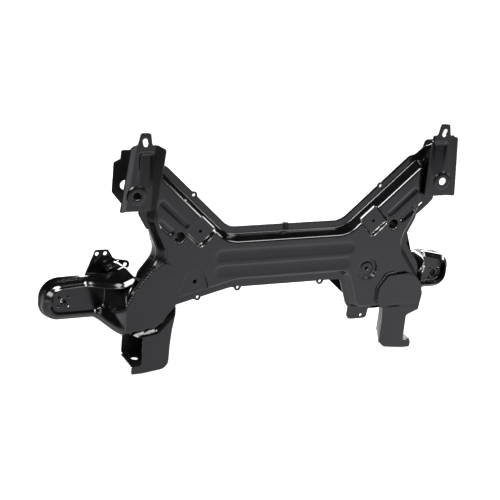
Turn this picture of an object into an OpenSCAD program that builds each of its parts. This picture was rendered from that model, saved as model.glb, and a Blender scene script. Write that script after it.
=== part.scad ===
// Front subframe of a car: a pressed cross member with two arms, two body mounts and two bush boxes.
// X runs across the car, Z up as the frame stands on its feet, and Y from the lower pressing to the upper.
// The sizes count from the feet and the face; in_frame() then puts the origin between the body mount bolts.

/* [Sheet] */
// Thickness of the two main pressings
sheet_t = 2.5; // [2:0.1:3]
// Thickness of the brackets and plates
plate_t = 3; // [2.5:0.1:4]
// Outer radius of a bend in the pressings
bend_r = 6; // [5:0.5:8]

/* [Cross member] */
// Depth of the lower pressing, from its face to its seam
front_depth = 25.5; // [22:0.5:30]
// Depth of the upper pressing, from the seam to its face
rear_depth = 36.5; // [30:0.5:44]
// Height of the upper edge of the face above the feet
top_z = 278; // [270:1:288]
// Height of the lower edge of the face above the feet
low_z = 192; // [184:1:198]
// Half the width of the upper edge between the arms
top_half = 141; // [130:1:150]
// Half the width of the face at the corner of its waist
waist_half = 268; // [260:1:274]
// Half the width of the face at the body mounts
wing_half = 330; // [322:1:340]
// Height of the lower edge of the wings
wing_low_z = 104; // [100:1:110]
// Height at which the wings end and the waist begins
wing_top_z = 163; // [156:1:170]
// Width of the seam flange beyond the wall
seam_w = 16; // [12:0.5:20]
// Slope of the wall of the lower pressing, as a spread in width
front_spread = 8; // [6:0.5:10]
// Slope of the wall of the upper pressing, as a spread in width
rear_spread = 24; // [18:0.5:28]

/* [Arms] */
// Half the width of the face at the ends of the arms
arm_half = 306; // [296:1:314]
// Height of the upper corner of an arm
arm_top_z = 430; // [420:1:440]
// Height of the lower corner of an arm
arm_low_z = 330; // [322:1:340]

/* [End brackets] */
// Height of the bottom of an end bracket
bracket_z = 356; // [350:1:364]
// Height of an end bracket without its tab
bracket_h = 135; // [128:1:142]
// Width of an end bracket at its foot
bracket_w = 68; // [62:1:74]
// How far the outer edge leans in over the height
bracket_lean = 13; // [8:1:16]
// Width of the outer lip, which is almost flat
outer_lip_w = 14; // [10:1:16]
// How far the web stands in front of the face
bracket_fore = 5; // [4:0.5:8]
// Depth of the flared inner lip at the head
lip_d = 17; // [15:0.5:22]
// Height of the tab
tab_h = 25; // [20:1:30]
// Width of the tab at its root
tab_w = 30; // [26:1:34]
// Place of the bush bolt from the inner edge of the bracket
boss_in = 34; // [30:1:38]
// Height of the bush bolt above the bottom of the bracket
boss_up = 33; // [28:1:38]
// Bore for the bush bolt
boss_bore = 16; // [14:0.5:18]
// Diameter of the raised ring round the bush bolt
boss_d = 40; // [36:1:44]

/* [Body mounts] */
// Distance of a mount bolt from the middle of the frame
mount_x = 445; // [438:1:452]
// Height of a mount bolt above the feet
mount_z = 122; // [118:1:126]
// Depth of the dish floor behind the face
mount_y = 116; // [110:1:122]
// Bore for the mount bolt
mount_bore = 13; // [11:0.5:15]
// Depth of the dish at its tip
dish_d = 18; // [14:0.5:22]
// Depth of the skirt behind the dish floor
skirt_d = 24; // [20:0.5:28]
// Height of the left dish across its rim
dish_h = 76; // [70:1:82]
// Distance from the left mount bolt to the tip of its rim
dish_tip = 38; // [34:1:42]
// Distance from the right mount bolt to the tip of its rim
right_tip = 25; // [23:1:32]
// Distance from the right mount bolt down to its rim
right_drop = 25; // [23:1:32]
// Diameter of the collar on the mount bolt
collar_d = 34; // [28:1:40]

/* [Bush boxes] */
// Distance of the inner wall of a box in from the end of the wing
box_in = 79; // [74:1:84]
// Width of the front strip
strip_w = 60; // [54:1:64]
// Width of the foot plate
foot_w = 80; // [74:1:84]
// Height of the foot lip under the foot plate
foot_lip = 15; // [12:0.5:18]
// Distance of the foot bolt from the inner wall
foot_bolt_x = 60; // [54:1:64]
// Bore for the foot bolt
foot_bore = 16; // [14:0.5:18]

/* [Fittings] */
// Bore for a steering rack bolt
rack_bore = 22; // [18:0.5:24]
// Distance of a rack bolt in from the middle of the arm's side
rack_in = 39; // [35:1:43]
// Height of a rack bolt above the feet
rack_z = 294; // [290:1:298]
// Wall of a crush tube
tube_wall = 4; // [3:0.5:5]
// Depth of a pressed bead
bead_d = 3.5; // [2.5:0.5:5]
// Clearance between pieces that fit in each other
fit_gap = 0.2; // [0.1:0.05:0.3]

/* [Hidden] */
$fn = 48;

// Colours as seen: black paint that reads as dark grey
paint = [0.16, 0.16, 0.17];
dark_paint = [0.08, 0.08, 0.085];

// Places of the rack bolts and of the inner walls of the bush boxes, from the middle
rack_x = (waist_half + arm_half) / 2 - rack_in;
box_x = wing_half - box_in;
// Depths of the seam and of the upper face
seam_y = front_depth;
rear_y = front_depth + rear_depth;
// Points on each rounded corner, less one
arc_steps = 3;
// Width of the narrow seams at the ends and sides, as a share of the seam flange
arm_share = 2 / 16;
right_side_share = 14 / 16;
left_side_share = 3 / 16;
low_share = 18 / 16;
wing_share = 6 / 16;
root_share = 2 / 16;

// Plane geometry: a corner row is [x, z, radius, share of the flange on the edge that leaves it]
function unit(v) = v / norm(v);
function edge_normal(a, b) = let (u = unit([b[0] - a[0], b[1] - a[1]])) [u[1], -u[0]];
function cross2(a, b) = a[0] * b[1] - a[1] * b[0];

// Arc of one corner whose two edges have moved outwards by d1 and d2
function corner_arc(p, n1, n2, d1, d2, r) =
    let (
        det = cross2(n1, n2),
        q = [p[0] + (d1 * n2[1] - d2 * n1[1]) / det, p[1] + (d2 * n1[0] - d1 * n2[0]) / det],
        side = det > 0 ? 1 : -1,
        grown = max(0.4, r + side * (d1 + d2) / 2),
        middle = q - (n1 + n2) * side * grown / (1 + n1 * n2),
        start = atan2(n1[1], n1[0]),
        turn = atan2(det, n1 * n2)
    )
    [for (k = [0:arc_steps])
        let (a = start + turn * k / arc_steps)
        middle + side * grown * [cos(a), sin(a)]];

// Outline of the corner rows, grown by grow and by share of each edge's own flange
function outline(rows, grow = 0, share = 0) =
    let (n = len(rows))
    [for (i = [0:n - 1])
        let (
            before = rows[(i + n - 1) % n],
            here = rows[i],
            after = rows[(i + 1) % n]
        )
        each corner_arc(here, edge_normal(before, here), edge_normal(here, after),
            grow + share * before[3], grow + share * here[3], here[2])];

// Triangles from ring i to ring j, both of n points
function ring_faces(i, j, n) = [for (k = [0:n - 1])
    let (next = (k + 1) % n)
    each [[i * n + k, i * n + next, j * n + next], [i * n + k, j * n + next, j * n + k]]];

// Skin over rings of equal length, from each to the next and from the last to the first
module ring_skin(rings) {
    n = len(rings[0]);
    polyhedron(
        points = [for (ring = rings) each ring],
        faces = [for (i = [0:len(rings) - 1]) each ring_faces(i, (i + 1) % len(rings), n)]);
}

// Skin over rings of equal length whose first and last ring are closed by flat caps
module capped_skin(rings) {
    n = len(rings[0]);
    last = len(rings) - 1;
    polyhedron(
        points = [for (ring = rings) each ring],
        faces = concat(
            [for (i = [0:last - 1]) each ring_faces(i, i + 1, n)],
            [[for (k = [n - 1:-1:0]) k], [for (k = [0:n - 1]) last * n + k]]));
}

// Flat plate in the XZ plane from depth y0 to y1
module plate(y0, y1) {
    translate([0, y1, 0]) rotate([90, 0, 0]) linear_extrude(y1 - y0) children();
}

// Round bar or hole along Y
module y_bar(x, z, d, y0, y1) {
    translate([x, y1, z]) rotate([90, 0, 0]) cylinder(d = d, h = y1 - y0);
}

// Slot with round ends between two points
module slot_shape(a, b, w) {
    along = unit(b - a) * w / 2;
    across = [-along[1], along[0]];
    corners = [a - along - across, b + along - across, b + along + across, a - along + across];
    shape([for (p = corners) [p[0], p[1], 0.48 * w, 0]]);
}

module right_or_left(side) {
    mirror([side < 0 ? 1 : 0, 0, 0]) children();
}

// Cross member: corners of the face, anticlockwise from the lower left
lobe_x = 152;
lobe_foot_x = 184;
left_foot = [-268, wing_low_z];
left_knee = [-238, low_z - 32];
left_rise = [-110, low_z];
top_r = 65;
waist_r = 50;
wing_r = 12;
arm_r = 7;
function seam(share) = share * seam_w;
upper_right = [
    [wing_half, wing_top_z, 30, seam(right_side_share)],
    [waist_half, (wing_top_z + arm_low_z) / 2, waist_r, seam(right_side_share)],
    [arm_half, arm_low_z, 20, seam(arm_share)],
    [arm_half, arm_top_z, arm_r, seam_w],
    [top_half, top_z, top_r, seam_w]
];
upper_left = [
    [-top_half, top_z, top_r, seam_w],
    [-arm_half, arm_top_z, arm_r, seam(arm_share)],
    [-arm_half, arm_low_z, 20, seam(left_side_share)],
    [-waist_half, (wing_top_z + arm_low_z) / 2, waist_r, seam(left_side_share)],
    [-wing_half, wing_top_z, 30, seam(root_share)]
];
face_rows = concat(
    [
        [-wing_half, wing_low_z, wing_r, seam(wing_share)],
        [left_foot[0], left_foot[1], wing_r, seam(wing_share)],
        [left_knee[0], left_knee[1], 30, seam_w],
        [left_rise[0], left_rise[1], 90, seam(low_share)],
        [lobe_x, low_z, 24, seam(wing_share)],
        [lobe_foot_x, wing_low_z, 16, seam(wing_share)],
        [wing_half, wing_low_z, wing_r, seam(root_share)]
    ],
    upper_right, upper_left);

function lifted(points, y) = [for (p = points) [p[0], y, p[1]]];
// The left side of the upper pressing stands straight behind the seam: its two edges move out by flank
flank_from = len(face_rows) - 3;
function flank_rows(share, flank) = [for (i = [0:len(face_rows) - 1])
    let (row = face_rows[i])
    [row[0], row[1], row[2], share * row[3] + (i == flank_from || i == flank_from + 1 ? flank : 0)]];
function face_ring(grow, share, y, flank) = lifted(outline(flank_rows(share, flank), grow, 1), y);

// Turn of a bend, in degrees from the flat face
bend_angles = [0, 35, 70];
// Rows of the near and the far side of the sheet, which close into one wall: grow, share, depth and flank
function pan_rows(depth, spread, inset, stand = 0) =
    let (
        mid = max(0, stand - spread + sheet_t),
        foot = max(0, stand - spread),
        near = concat(
            [for (a = bend_angles) [inset - bend_r * (1 - sin(a)), 0, bend_r * (1 - cos(a)), stand]],
            [[inset + spread - sheet_t, 0, depth - 2 * sheet_t, mid],
             [inset + spread, 0, depth - sheet_t, foot],
             [inset + spread, 1, depth - sheet_t, 0]]),
        far = concat(
            [for (a = bend_angles)
                [inset - bend_r + (bend_r - sheet_t) * sin(a), 0, bend_r - (bend_r - sheet_t) * cos(a), stand]],
            [[inset + spread - 2 * sheet_t, 0, depth - 1.2 * sheet_t, mid],
             [inset + spread - sheet_t, 0, depth, foot],
             [inset + spread, 1, depth, 0]]))
    concat(near, [for (i = [len(far) - 1:-1:0]) far[i]]);

// Lower pressing, face to -Y: the wall with its bends and flange, and the flat face in it
module front_pan_sheet() {
    ring_skin([for (row = pan_rows(front_depth, front_spread, 0)) face_ring(row[0], row[1], row[2], row[3])]);
    plate(0, sheet_t) polygon(outline(face_rows, -bend_r));
}

// Upper pressing, face to +Y, seam to seam with the lower one
module rear_pan_sheet() {
    inset = front_spread - rear_spread;
    stand = rear_spread + seam(left_side_share) / 2;
    rings = [for (row = pan_rows(rear_depth, rear_spread, inset, stand))
        face_ring(row[0], row[1], rear_y - row[2], row[3])];
    ring_skin([for (i = [len(rings) - 1:-1:0]) rings[i]]);
    plate(rear_y - sheet_t, rear_y) polygon(outline(flank_rows(0, stand), inset - bend_r, 1));
}

// Rounded plate shape from corner rows
module shape(rows) {
    polygon(outline(rows));
}

// Pressed features of the lower pressing
cross_bead_w = 26;
cross_beads = [
    [[-150, low_z + 54], [145, low_z + 54]],
    [[-148, low_z + 20], [138, low_z + 20]]
];
arm_bead_w = 12;
arm_beads = [
    [[rack_x + 43, rack_z + 75], [rack_x - 10, rack_z + 26]],
    [[rack_x + 44, rack_z + 33], [rack_x + 21, rack_z + 13]]
];
pad_at = [rack_x - 47, rack_z + 8];
pad_len = 46;
pad_in = 23;
pad_out = 40;
pad_r = 10;
pad_turn = 43;
pad_depth = 8;
pad_bore = 7;
cup_at = [198, low_z + 2];
cup_d = 46;
cup_depth = 6;
cup_bore = 8;
scallop_hole = [-204, low_z + 1];
scallop_depth = 6;
scallop_bore = 9;
tab_holes = [[216, top_z + 97], [-216, top_z + 97], [97, low_z - 27], [-97, low_z - 27], [-187, low_z - 42]];
tab_d = 16;
tab_bore = 6;
seam_near = seam_y - sheet_t;
ear_rows = [[176, wing_low_z - 36, 14, 0], [226, wing_low_z - 36, 14, 0],
    [226, wing_low_z - 6, 2, 0], [172, wing_low_z - 6, 2, 0]];
ear_hole = [210, wing_low_z - 28];
bracket_x = arm_half + front_spread + seam(arm_share);
tip_rows = [[bracket_x - 24, arm_top_z - 8, 2, 0], [bracket_x + 2, arm_top_z + 8, 2, 0],
    [bracket_x + 22, arm_top_z + 12, 3, 0], [bracket_x + 22, arm_top_z + 34, 4, 0],
    [bracket_x + 9, arm_top_z + 41, 3, 0], [bracket_x - 24, arm_top_z + 12, 2, 0]];
tip_holes = [[bracket_x + 13, arm_top_z + 28], [bracket_x + 13, arm_top_z + 17]];
tip_bore = 4;
// The seam flange runs on under each end bracket, wider on the right
function arm_foot_rows(side) = let (out = side > 0 ? 0 : -20) [
    [arm_half - 6, arm_low_z - 20, 2, 0], [arm_half + (side > 0 ? 12 : 6), arm_low_z - 24, 4, 0],
    [arm_half + 36 + out, arm_low_z - 3, 8, 0], [arm_half + 47 + out, arm_low_z + 10, 4, 0],
    [arm_half + 44 + out, arm_low_z + 18, 3, 0], [arm_half + 4, arm_low_z + 18, 2, 0]];
foot_slot = [[arm_half + 13, arm_low_z - 5], [arm_half + 19, arm_low_z + 1]];
foot_slot_w = 4;

// Sheet behind a bead that is pressed into the face, and the hollow in front of it
module bead_solid(ends, w) {
    plate(sheet_t / 2, bead_d + sheet_t) slot_shape(ends[0], ends[1], w + sheet_t);
}

module bead_recess(ends, w) {
    plate(-1, bead_d) slot_shape(ends[0], ends[1], w - sheet_t);
}

// Step at the edge of an arm, open through its upper wall
module pad_shape(grow) {
    half = pad_len / 2;
    translate(pad_at) rotate(pad_turn) polygon(outline([
        [-half, -pad_in, pad_r, 0], [half, -pad_in, pad_r, 0], [half, pad_out, 2, 0], [-half, pad_out, 2, 0]], grow));
}

// Outline of the wall of the lower pressing at a depth
module wall_shape(y) {
    polygon(outline(face_rows, front_spread * y / seam_near));
}

// Arched step in the lower edge, open through its lower wall
module scallop_shape(grow) {
    polygon(outline([[-242, low_z - 42, 4, 0], [-170, low_z - 24, 4, 0], [-188, low_z + 26, 17, 0],
        [-224, low_z + 26, 17, 0]], grow));
}

module all_beads() {
    for (ends = cross_beads) bead_solid(ends, cross_bead_w);
    for (side = [-1, 1], ends = arm_beads) right_or_left(side) bead_solid(ends, arm_bead_w);
}

module all_bead_recesses() {
    for (ends = cross_beads) bead_recess(ends, cross_bead_w);
    for (side = [-1, 1], ends = arm_beads) right_or_left(side) bead_recess(ends, arm_bead_w);
}

module front_pan() {
    color(paint) difference() {
        union() {
            front_pan_sheet();
            all_beads();
            for (side = [-1, 1]) right_or_left(side) {
                plate(sheet_t / 2, pad_depth + sheet_t) intersection() {
                    pad_shape(sheet_t);
                    wall_shape(pad_depth);
                }
                plate(seam_near, seam_y) shape(tip_rows);
                plate(seam_near, seam_y) shape(arm_foot_rows(side));
            }
            y_bar(cup_at[0], cup_at[1], cup_d + 2 * sheet_t, sheet_t / 2, cup_depth + sheet_t);
            plate(sheet_t / 2, scallop_depth + sheet_t) intersection() {
                scallop_shape(sheet_t);
                wall_shape(scallop_depth);
            }
            for (at = tab_holes) y_bar(at[0], at[1], tab_d, seam_near, seam_y);
            plate(seam_near, seam_y) shape(ear_rows);
        }
        all_bead_recesses();
        for (side = [-1, 1]) right_or_left(side) {
            plate(-1, pad_depth) pad_shape(0);
            y_bar(pad_at[0], pad_at[1], pad_bore, -1, seam_y);
            y_bar(rack_x, rack_z, rack_bore, -1, seam_y);
            for (at = tip_holes) y_bar(at[0], at[1], tip_bore, seam_near - 1, seam_y + 1);
        }
        plate(seam_near - 1, seam_y + 1) slot_shape(foot_slot[0], foot_slot[1], foot_slot_w);
        y_bar(cup_at[0], cup_at[1], cup_d, -1, cup_depth);
        y_bar(cup_at[0], cup_at[1], cup_bore, -1, seam_y);
        plate(-1, scallop_depth) scallop_shape(0);
        y_bar(scallop_hole[0], scallop_hole[1], scallop_bore, -1, seam_y);
        for (at = tab_holes) y_bar(at[0], at[1], tab_bore, seam_near - 1, seam_y + 1);
        y_bar(ear_hole[0], ear_hole[1], tab_bore, seam_near - 1, seam_y + 1);
    }
}

module rear_pan() {
    color(dark_paint) difference() {
        rear_pan_sheet();
        for (side = [-1, 1]) y_bar(side * rack_x, rack_z, rack_bore, seam_y, rear_y + 1);
        for (at = tab_holes) y_bar(at[0], at[1], tab_d - 4, seam_y - 1, seam_y + sheet_t + 1);
        plate(seam_y - 1, seam_y + sheet_t + 1) slot_shape(foot_slot[0], foot_slot[1], foot_slot_w + 2);
    }
}

// Bolt tubes that keep the steering rack's bolts from crushing the box
module rack_tube(side) {
    color(dark_paint) difference() {
        y_bar(side * rack_x, rack_z, rack_bore + 2 * tube_wall, sheet_t, rear_y - sheet_t);
        y_bar(side * rack_x, rack_z, rack_bore, 0, rear_y);
    }
}

// End brackets: a channel with a raised ring for the bush bolt and a slotted tab
boss_at = [bracket_x + boss_in, bracket_z + boss_up];
bracket_top = bracket_z + bracket_h;
web_far = plate_t - bracket_fore;
outer_foot = bracket_x + bracket_w - outer_lip_w;
outer_head = outer_foot - bracket_lean;
outer_lip_d = 6;
boss_rise = 3;
recess_x = [5, 33];
recess_z = [bracket_z + 64, bracket_top - 16];
recess_d = 3.5;
tab_x = bracket_x + 24;
slot_w = 10;
slot_half = [1, 3.5];
return_top = arm_top_z + 6;

// Section of the channel across its height: the web, the flared inner lip and the flatter outer lip
lip_slope = 0.75;
function channel_ring(outer, flare, z) = let (lip = [lip_slope, 1] * lip_d * flare) [
    [bracket_x - lip[0] - 2.4, web_far - 1.2 - lip[1], z], [bracket_x - 1, web_far, z],
    [outer + 0.6, web_far, z], [outer + outer_lip_w + 1, web_far - outer_lip_d, z],
    [outer + outer_lip_w, -bracket_fore - outer_lip_d, z], [outer, -bracket_fore, z],
    [bracket_x, -bracket_fore, z], [bracket_x - lip[0], -bracket_fore - lip[1], z]];
// Points of that section that bound the inner lip, the web and the outer lip
channel_parts = [[0, 1, 6, 7], [1, 2, 5, 6], [2, 3, 4, 5]];

module tab_shape() {
    shape([[tab_x - tab_w / 2, bracket_top - 4, 1, 0], [tab_x + tab_w / 2, bracket_top - 4, 1, 0],
        [tab_x + tab_w / 2 - 5, bracket_top + tab_h, 5, 0],
        [tab_x - tab_w / 2 + 5, bracket_top + tab_h, 5, 0]]);
}

module recess_shape(grow) {
    translate([bracket_x + recess_x[0] - grow, recess_z[0] - grow])
        square([recess_x[1] - recess_x[0] + 2 * grow, recess_z[1] - recess_z[0] + 2 * grow]);
}

module end_bracket(side) {
    color(paint) right_or_left(side) difference() {
        union() {
            for (part = channel_parts) capped_skin([for (ring = [channel_ring(outer_foot, 0.5, bracket_z),
                channel_ring(outer_head, 1, bracket_top)]) [for (i = part) ring[i]]]);
            plate(-bracket_fore, web_far) tab_shape();
            plate(web_far, rear_y)
                translate([bracket_x, bracket_z]) square([plate_t, return_top - bracket_z]);
            plate(web_far, recess_d + web_far) recess_shape(plate_t);
            y_bar(boss_at[0], boss_at[1], boss_d, -bracket_fore - boss_rise, -bracket_fore);
        }
        plate(-bracket_fore - 1, recess_d + web_far - plate_t) recess_shape(0);
        y_bar(boss_at[0], boss_at[1], boss_bore, -bracket_fore - boss_rise - 1, web_far + 1);
        plate(-bracket_fore - 1, web_far + 1)
            slot_shape([tab_x, bracket_top + 6] - slot_half, [tab_x, bracket_top + 6] + slot_half, slot_w);
    }
}

// Plates behind the end brackets, with the far hole of the bush bolt
back_bore = 20;
plate_reach = 27;

module back_plate(side) {
    right = boss_at[0] + plate_reach;
    color(dark_paint) right_or_left(side) difference() {
        plate(rear_y, rear_y + plate_t) shape([
            [bracket_x - 48, bracket_z - 4, 6, 0], [boss_at[0] + 4, bracket_z - 8, 8, 0],
            [right, boss_at[1] - 14, 8, 0], [right, boss_at[1] + 48, 3, 0],
            [right - 14, boss_at[1] + 55, 3, 0], [right - 14, boss_at[1] + 73, 5, 0],
            [bracket_x + 22, boss_at[1] + 73, 8, 0], [bracket_x + 12, boss_at[1] + 26, 12, 0],
            [bracket_x - 48, bracket_z + 24, 6, 0]]);
        y_bar(boss_at[0], boss_at[1], back_bore, rear_y - 1, rear_y + plate_t + 1);
    }
}

// Body mounts: a dish with a rim that sweeps forward to the wing, and a skirt behind it
pod_root = wing_half + front_spread + seam(root_share) + bend_r;
rim_root_y = front_depth - 12;
skirt_y = mount_y + skirt_d;
skirt_spread = 3;
drain_r = 14.5;
drain_d = 5;
root_rise = 28;
sweep_len = 62;
pod_top = mount_z + dish_h / 2;
function pod_low(side) = mount_z - (side > 0 ? right_drop : dish_h / 2);
function pod_tip(side) = mount_x + (side > 0 ? right_tip : dish_tip);
function tip_r(side) = side > 0 ? 26 : 32;
// Width of the sloped wall of the right dish, as a share of the widest
right_wall = 0.55;
// The left mount runs on up along the wing, with a horn at its inner top corner
horn_in = 19;
horn_up = 37;
horn_foot = 30;
notch_up = 36;
function pod_root_rows(side, rise) = let (up = rise / root_rise) side > 0
    ? [[pod_root, pod_top + rise, 24, 0]]
    : [[pod_root - horn_in, pod_top + horn_up * up, 8, 0],
       [pod_root - horn_in * (1 - up), pod_top - horn_foot + notch_up * up, 10, 0]];
function pod_rows(side, rise) = concat([
    [pod_root, pod_low(side), 16, skirt_spread], [pod_tip(side), pod_low(side), tip_r(side), skirt_spread],
    [pod_tip(side), pod_top, tip_r(side), skirt_spread]], pod_root_rows(side, rise));
// The same rows with the width of the wall on each edge as a share of the widest
left_walls = [1, 1, 0.7, 0.3, 0.6];
function wall_rows(side) = let (rows = pod_rows(side, root_rise)) [for (i = [0:len(rows) - 1])
    [rows[i][0], rows[i][1], rows[i][2], side > 0 ? right_wall : left_walls[i]]];
// Rim depth: level at the tip, and an S curve forward over the last stretch to the wing
function smooth(t) = let (s = min(1, max(0, t))) s * s * (3 - 2 * s);
// By the wing the left rim starts just behind the gusset and goes back to the seam over this height
rim_near = 1;
rim_fade = 40;
function root_y(side, z) = side > 0 ? rim_root_y
    : rim_near + (seam_near - plate_t) * smooth((z - pod_top + rim_fade / 2) / rim_fade);
// The left rim is deep along its top and almost level with the floor along its bottom
low_rim = 0.2;
rim_climb = 0.6;
function rim_depth(side, z) = side > 0 ? dish_d
    : dish_d * (low_rim + (1 - low_rim) * smooth((z - pod_low(side)) / (rim_climb * dish_h)));
function rim_y(side, p) = let (near = root_y(side, p[1]), far = mount_y - rim_depth(side, p[1]))
    near + (far - near) * smooth((p[0] - pod_root) / sweep_len);
// Points of an outline at the share sink of the way from the rim to depth end_y, with a shift
function sunk(side, points, sink, end_y, shift) =
    [for (p = points) [p[0], rim_y(side, p) * (1 - sink) + end_y * sink + shift, p[1]]];
// Wall of the dish from its floor to its rim: inset, way to the floor, and the sheet's offset
pod_near = [[-20, 1, 0], [-14, 0.94, 0], [-11, 0.75, 0], [-5, 0.16, 0], [-2, 0.02, 0], [2, 0, 0]];
pod_far = [[-20, 1, 1], [-13, 0.97, 1], [-9, 0.78, 0.4], [-3.2, 0.22, 0.4], [-1, 0.08, 1], [1.5, 0, 1]];
function wall_ring(side, row) = sunk(side,
    row[0] < 0 ? outline(wall_rows(side), 0, row[0]) : outline(pod_rows(side, root_rise), row[0]),
    row[1], mount_y, row[2] * sheet_t);
// Skirt rows: grow, share of the spread, way to the skirt's end, and rise of the root
pod_skirt = [
    [bend_r - 1, 0, 0.06, root_rise], [bend_r, 0, 0.2, root_rise], [bend_r, 0, 0.46, root_rise],
    [bend_r, 1, 1, 0], [bend_r - sheet_t, 1, 1, 0],
    [bend_r - sheet_t, 0, 0.46, root_rise], [bend_r - sheet_t, 0, 0.2, root_rise]
];

module pod_dish(side) {
    near = [for (row = pod_near) wall_ring(side, row)];
    far = [for (i = [len(pod_far) - 1:-1:0]) wall_ring(side, pod_far[i])];
    skirt = [for (row = pod_skirt)
        sunk(side, outline(pod_rows(side, row[3]), row[0], row[1]), row[2], skirt_y, 0)];
    color(paint) right_or_left(side) difference() {
        capped_skin(concat(near, skirt, far));
        y_bar(mount_x, mount_z, mount_bore, mount_y - 1, skirt_y);
        for (a = [45:90:315])
            y_bar(mount_x + drain_r * cos(a), mount_z + drain_r * sin(a), drain_d, mount_y - 1,
                mount_y + sheet_t + 1);
    }
}

module pod_collar(side) {
    color(dark_paint) difference() {
        y_bar(side * mount_x, mount_z, collar_d, mount_y + sheet_t, skirt_y);
        y_bar(side * mount_x, mount_z, mount_bore, mount_y, skirt_y + 1);
    }
}

// Bush boxes: a front plate with a gusset and a foot lip, and a folded channel behind it
strip_x = box_x + strip_w;
foot_x = box_x + foot_w;
back_x = box_x + 30;
foot_z = foot_lip;
box_top = wing_low_z - front_spread - seam(wing_share);
strip_rows = [
    [box_x, box_top, 2, 0], [box_x, 8, 20, 0], [foot_x - 20, 0, 8, 0], [foot_x, 0, 3, 0], [foot_x, foot_z, 4, 0],
    [strip_x, foot_z + 4, 4, 0], [strip_x, box_top - 8, 6, 0]
];
gusset_out = wing_half + front_spread + seam(root_share);
right_gusset = [
    [box_x + 1, box_top - 2, 2, 0], [strip_x, box_top - 10, 4, 0], [gusset_out, box_top, 6, 0],
    [gusset_out + 4, wing_low_z + 22, 14, 0], [gusset_out - 4, wing_top_z - 14, 10, 0],
    [gusset_out - 20, wing_top_z, 8, 0], [box_x + 30, wing_top_z, 8, 0], [box_x + 10, wing_top_z - 28, 20, 0]
];
left_gusset = [
    [box_x + 1, box_top - 2, 2, 0], [strip_x, box_top - 10, 4, 0], [gusset_out, box_top, 6, 0],
    [gusset_out + 4, wing_low_z + 30, 14, 0], [waist_half + 38, wing_top_z + 40, 40, 0],
    [waist_half + 8, wing_top_z + 76, 10, 0], [waist_half - 4, wing_top_z + 74, 6, 0],
    [box_x - 13, wing_low_z + 66, 10, 0]
];

module leg_bracket(side) {
    color(paint) right_or_left(side) plate(-plate_t, 0) {
        shape(strip_rows);
        shape(side > 0 ? right_gusset : left_gusset);
    }
}

module leg_channel(side) {
    color(dark_paint) right_or_left(side) difference() {
        union() {
            translate([0, 0, foot_z]) linear_extrude(box_top - foot_z) polygon([[box_x, 0],
                [box_x + plate_t, 0], [back_x + plate_t, rear_y], [back_x, rear_y]]);
            translate([0, 0, foot_z]) linear_extrude(plate_t) polygon([[box_x, 0], [foot_x, 0],
                [foot_x, rear_y], [back_x, rear_y]]);
            plate(rear_y, rear_y + plate_t) shape([
                [back_x, foot_z, 2, 0], [foot_x, foot_z, 10, 0], [foot_x, box_top, 10, 0],
                [foot_x - 30, wing_low_z + 46, 12, 0], [back_x, wing_low_z + 46, 12, 0]]);
        }
        translate([box_x + foot_bolt_x, rear_y * 0.58, foot_z - 1])
            cylinder(d = foot_bore, h = plate_t + 2);
    }
}

// Line brackets on the backs of the body mounts, and the arched stays on them
line_hole_d = 8;
line_top = mount_z + 100;
line_rows = [
    [pod_root + 2, mount_z + 28, 4, 0], [pod_root + 54, mount_z + 28, 4, 0],
    [pod_root + 28, line_top, 5, 0], [pod_root, line_top, 5, 0], [pod_root - 14, line_top - 22, 12, 0],
    [pod_root - 50, line_top - 28, 10, 0], [pod_root - 50, line_top - 46, 10, 0],
    [pod_root - 22, line_top - 50, 12, 0]
];
line_holes = [[pod_root + 24, line_top - 9], [pod_root + 6, line_top - 9],
    [pod_root - 22, line_top - 30], [pod_root - 40, line_top - 37]];
arch_r = 30;
arch_len = 34;
arch_at = [pod_root - 10, line_top - 54];

module line_bracket(side) {
    color(dark_paint) right_or_left(side) difference() {
        plate(skirt_y, skirt_y + plate_t) shape(line_rows);
        for (at = line_holes) y_bar(at[0], at[1], line_hole_d, skirt_y - 1, skirt_y + plate_t + 1);
    }
}

module arch_stay(side) {
    color(paint) right_or_left(side) translate([arch_at[0], skirt_y, arch_at[1]]) rotate([90, 0, 0])
        rotate([0, 0, 40]) rotate_extrude(angle = 100)
            translate([arch_r - plate_t, 0]) square([plate_t, arch_len]);
}

// Stay under the rear of the cross member, beside the lobe
stay_hole_d = 10;
module lower_stay() {
    color(dark_paint) difference() {
        plate(rear_y, rear_y + plate_t) shape([
            [lobe_x + 26, wing_low_z + 12, 6, 0], [lobe_x + 46, wing_low_z + 6, 6, 0],
            [lobe_x + 46, low_z + 34, 6, 0], [lobe_x - 20, low_z + 34, 6, 0], [lobe_x - 14, low_z - 40, 8, 0]]);
        y_bar(lobe_x + 30, wing_low_z + 30, stay_hole_d, rear_y - 1, rear_y + plate_t + 1);
    }
}

// Spring clip over the middle of the upper seam
clip_w = 12;
clip_t = 1.6;
clip_grip = 13;
module flange_clip() {
    seam_top = top_z + front_spread + seam_w;
    near = seam_near - fit_gap;
    far = seam_y + sheet_t + fit_gap;
    color(dark_paint) translate([-clip_w / 2, 0, 0]) rotate([90, 0, 90]) linear_extrude(clip_w) polygon([
        [near - clip_t, seam_top - clip_grip], [near, seam_top - clip_grip], [near, seam_top],
        [far, seam_top], [far, seam_top - clip_grip], [far + clip_t, seam_top - clip_grip],
        [far + clip_t, seam_top + clip_t], [near - clip_t, seam_top + clip_t]]);
}

// Weld nuts on the inside of the lower pressing
nut_h = 6.5;
nut_across = 15;
module weld_nut(x, z, y, bore) {
    difference() {
        translate([x, y + nut_h, z]) rotate([90, 0, 0]) cylinder(d = nut_across, h = nut_h, $fn = 6);
        y_bar(x, z, bore, y - 1, y + nut_h + 1);
    }
}

module weld_nuts() {
    color(dark_paint) {
        for (side = [-1, 1]) weld_nut(side * pad_at[0], pad_at[1], pad_depth + sheet_t, pad_bore);
        weld_nut(cup_at[0], cup_at[1], cup_depth + sheet_t, cup_bore);
        weld_nut(scallop_hole[0], scallop_hole[1], scallop_depth + sheet_t, scallop_bore);
    }
}

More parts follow.
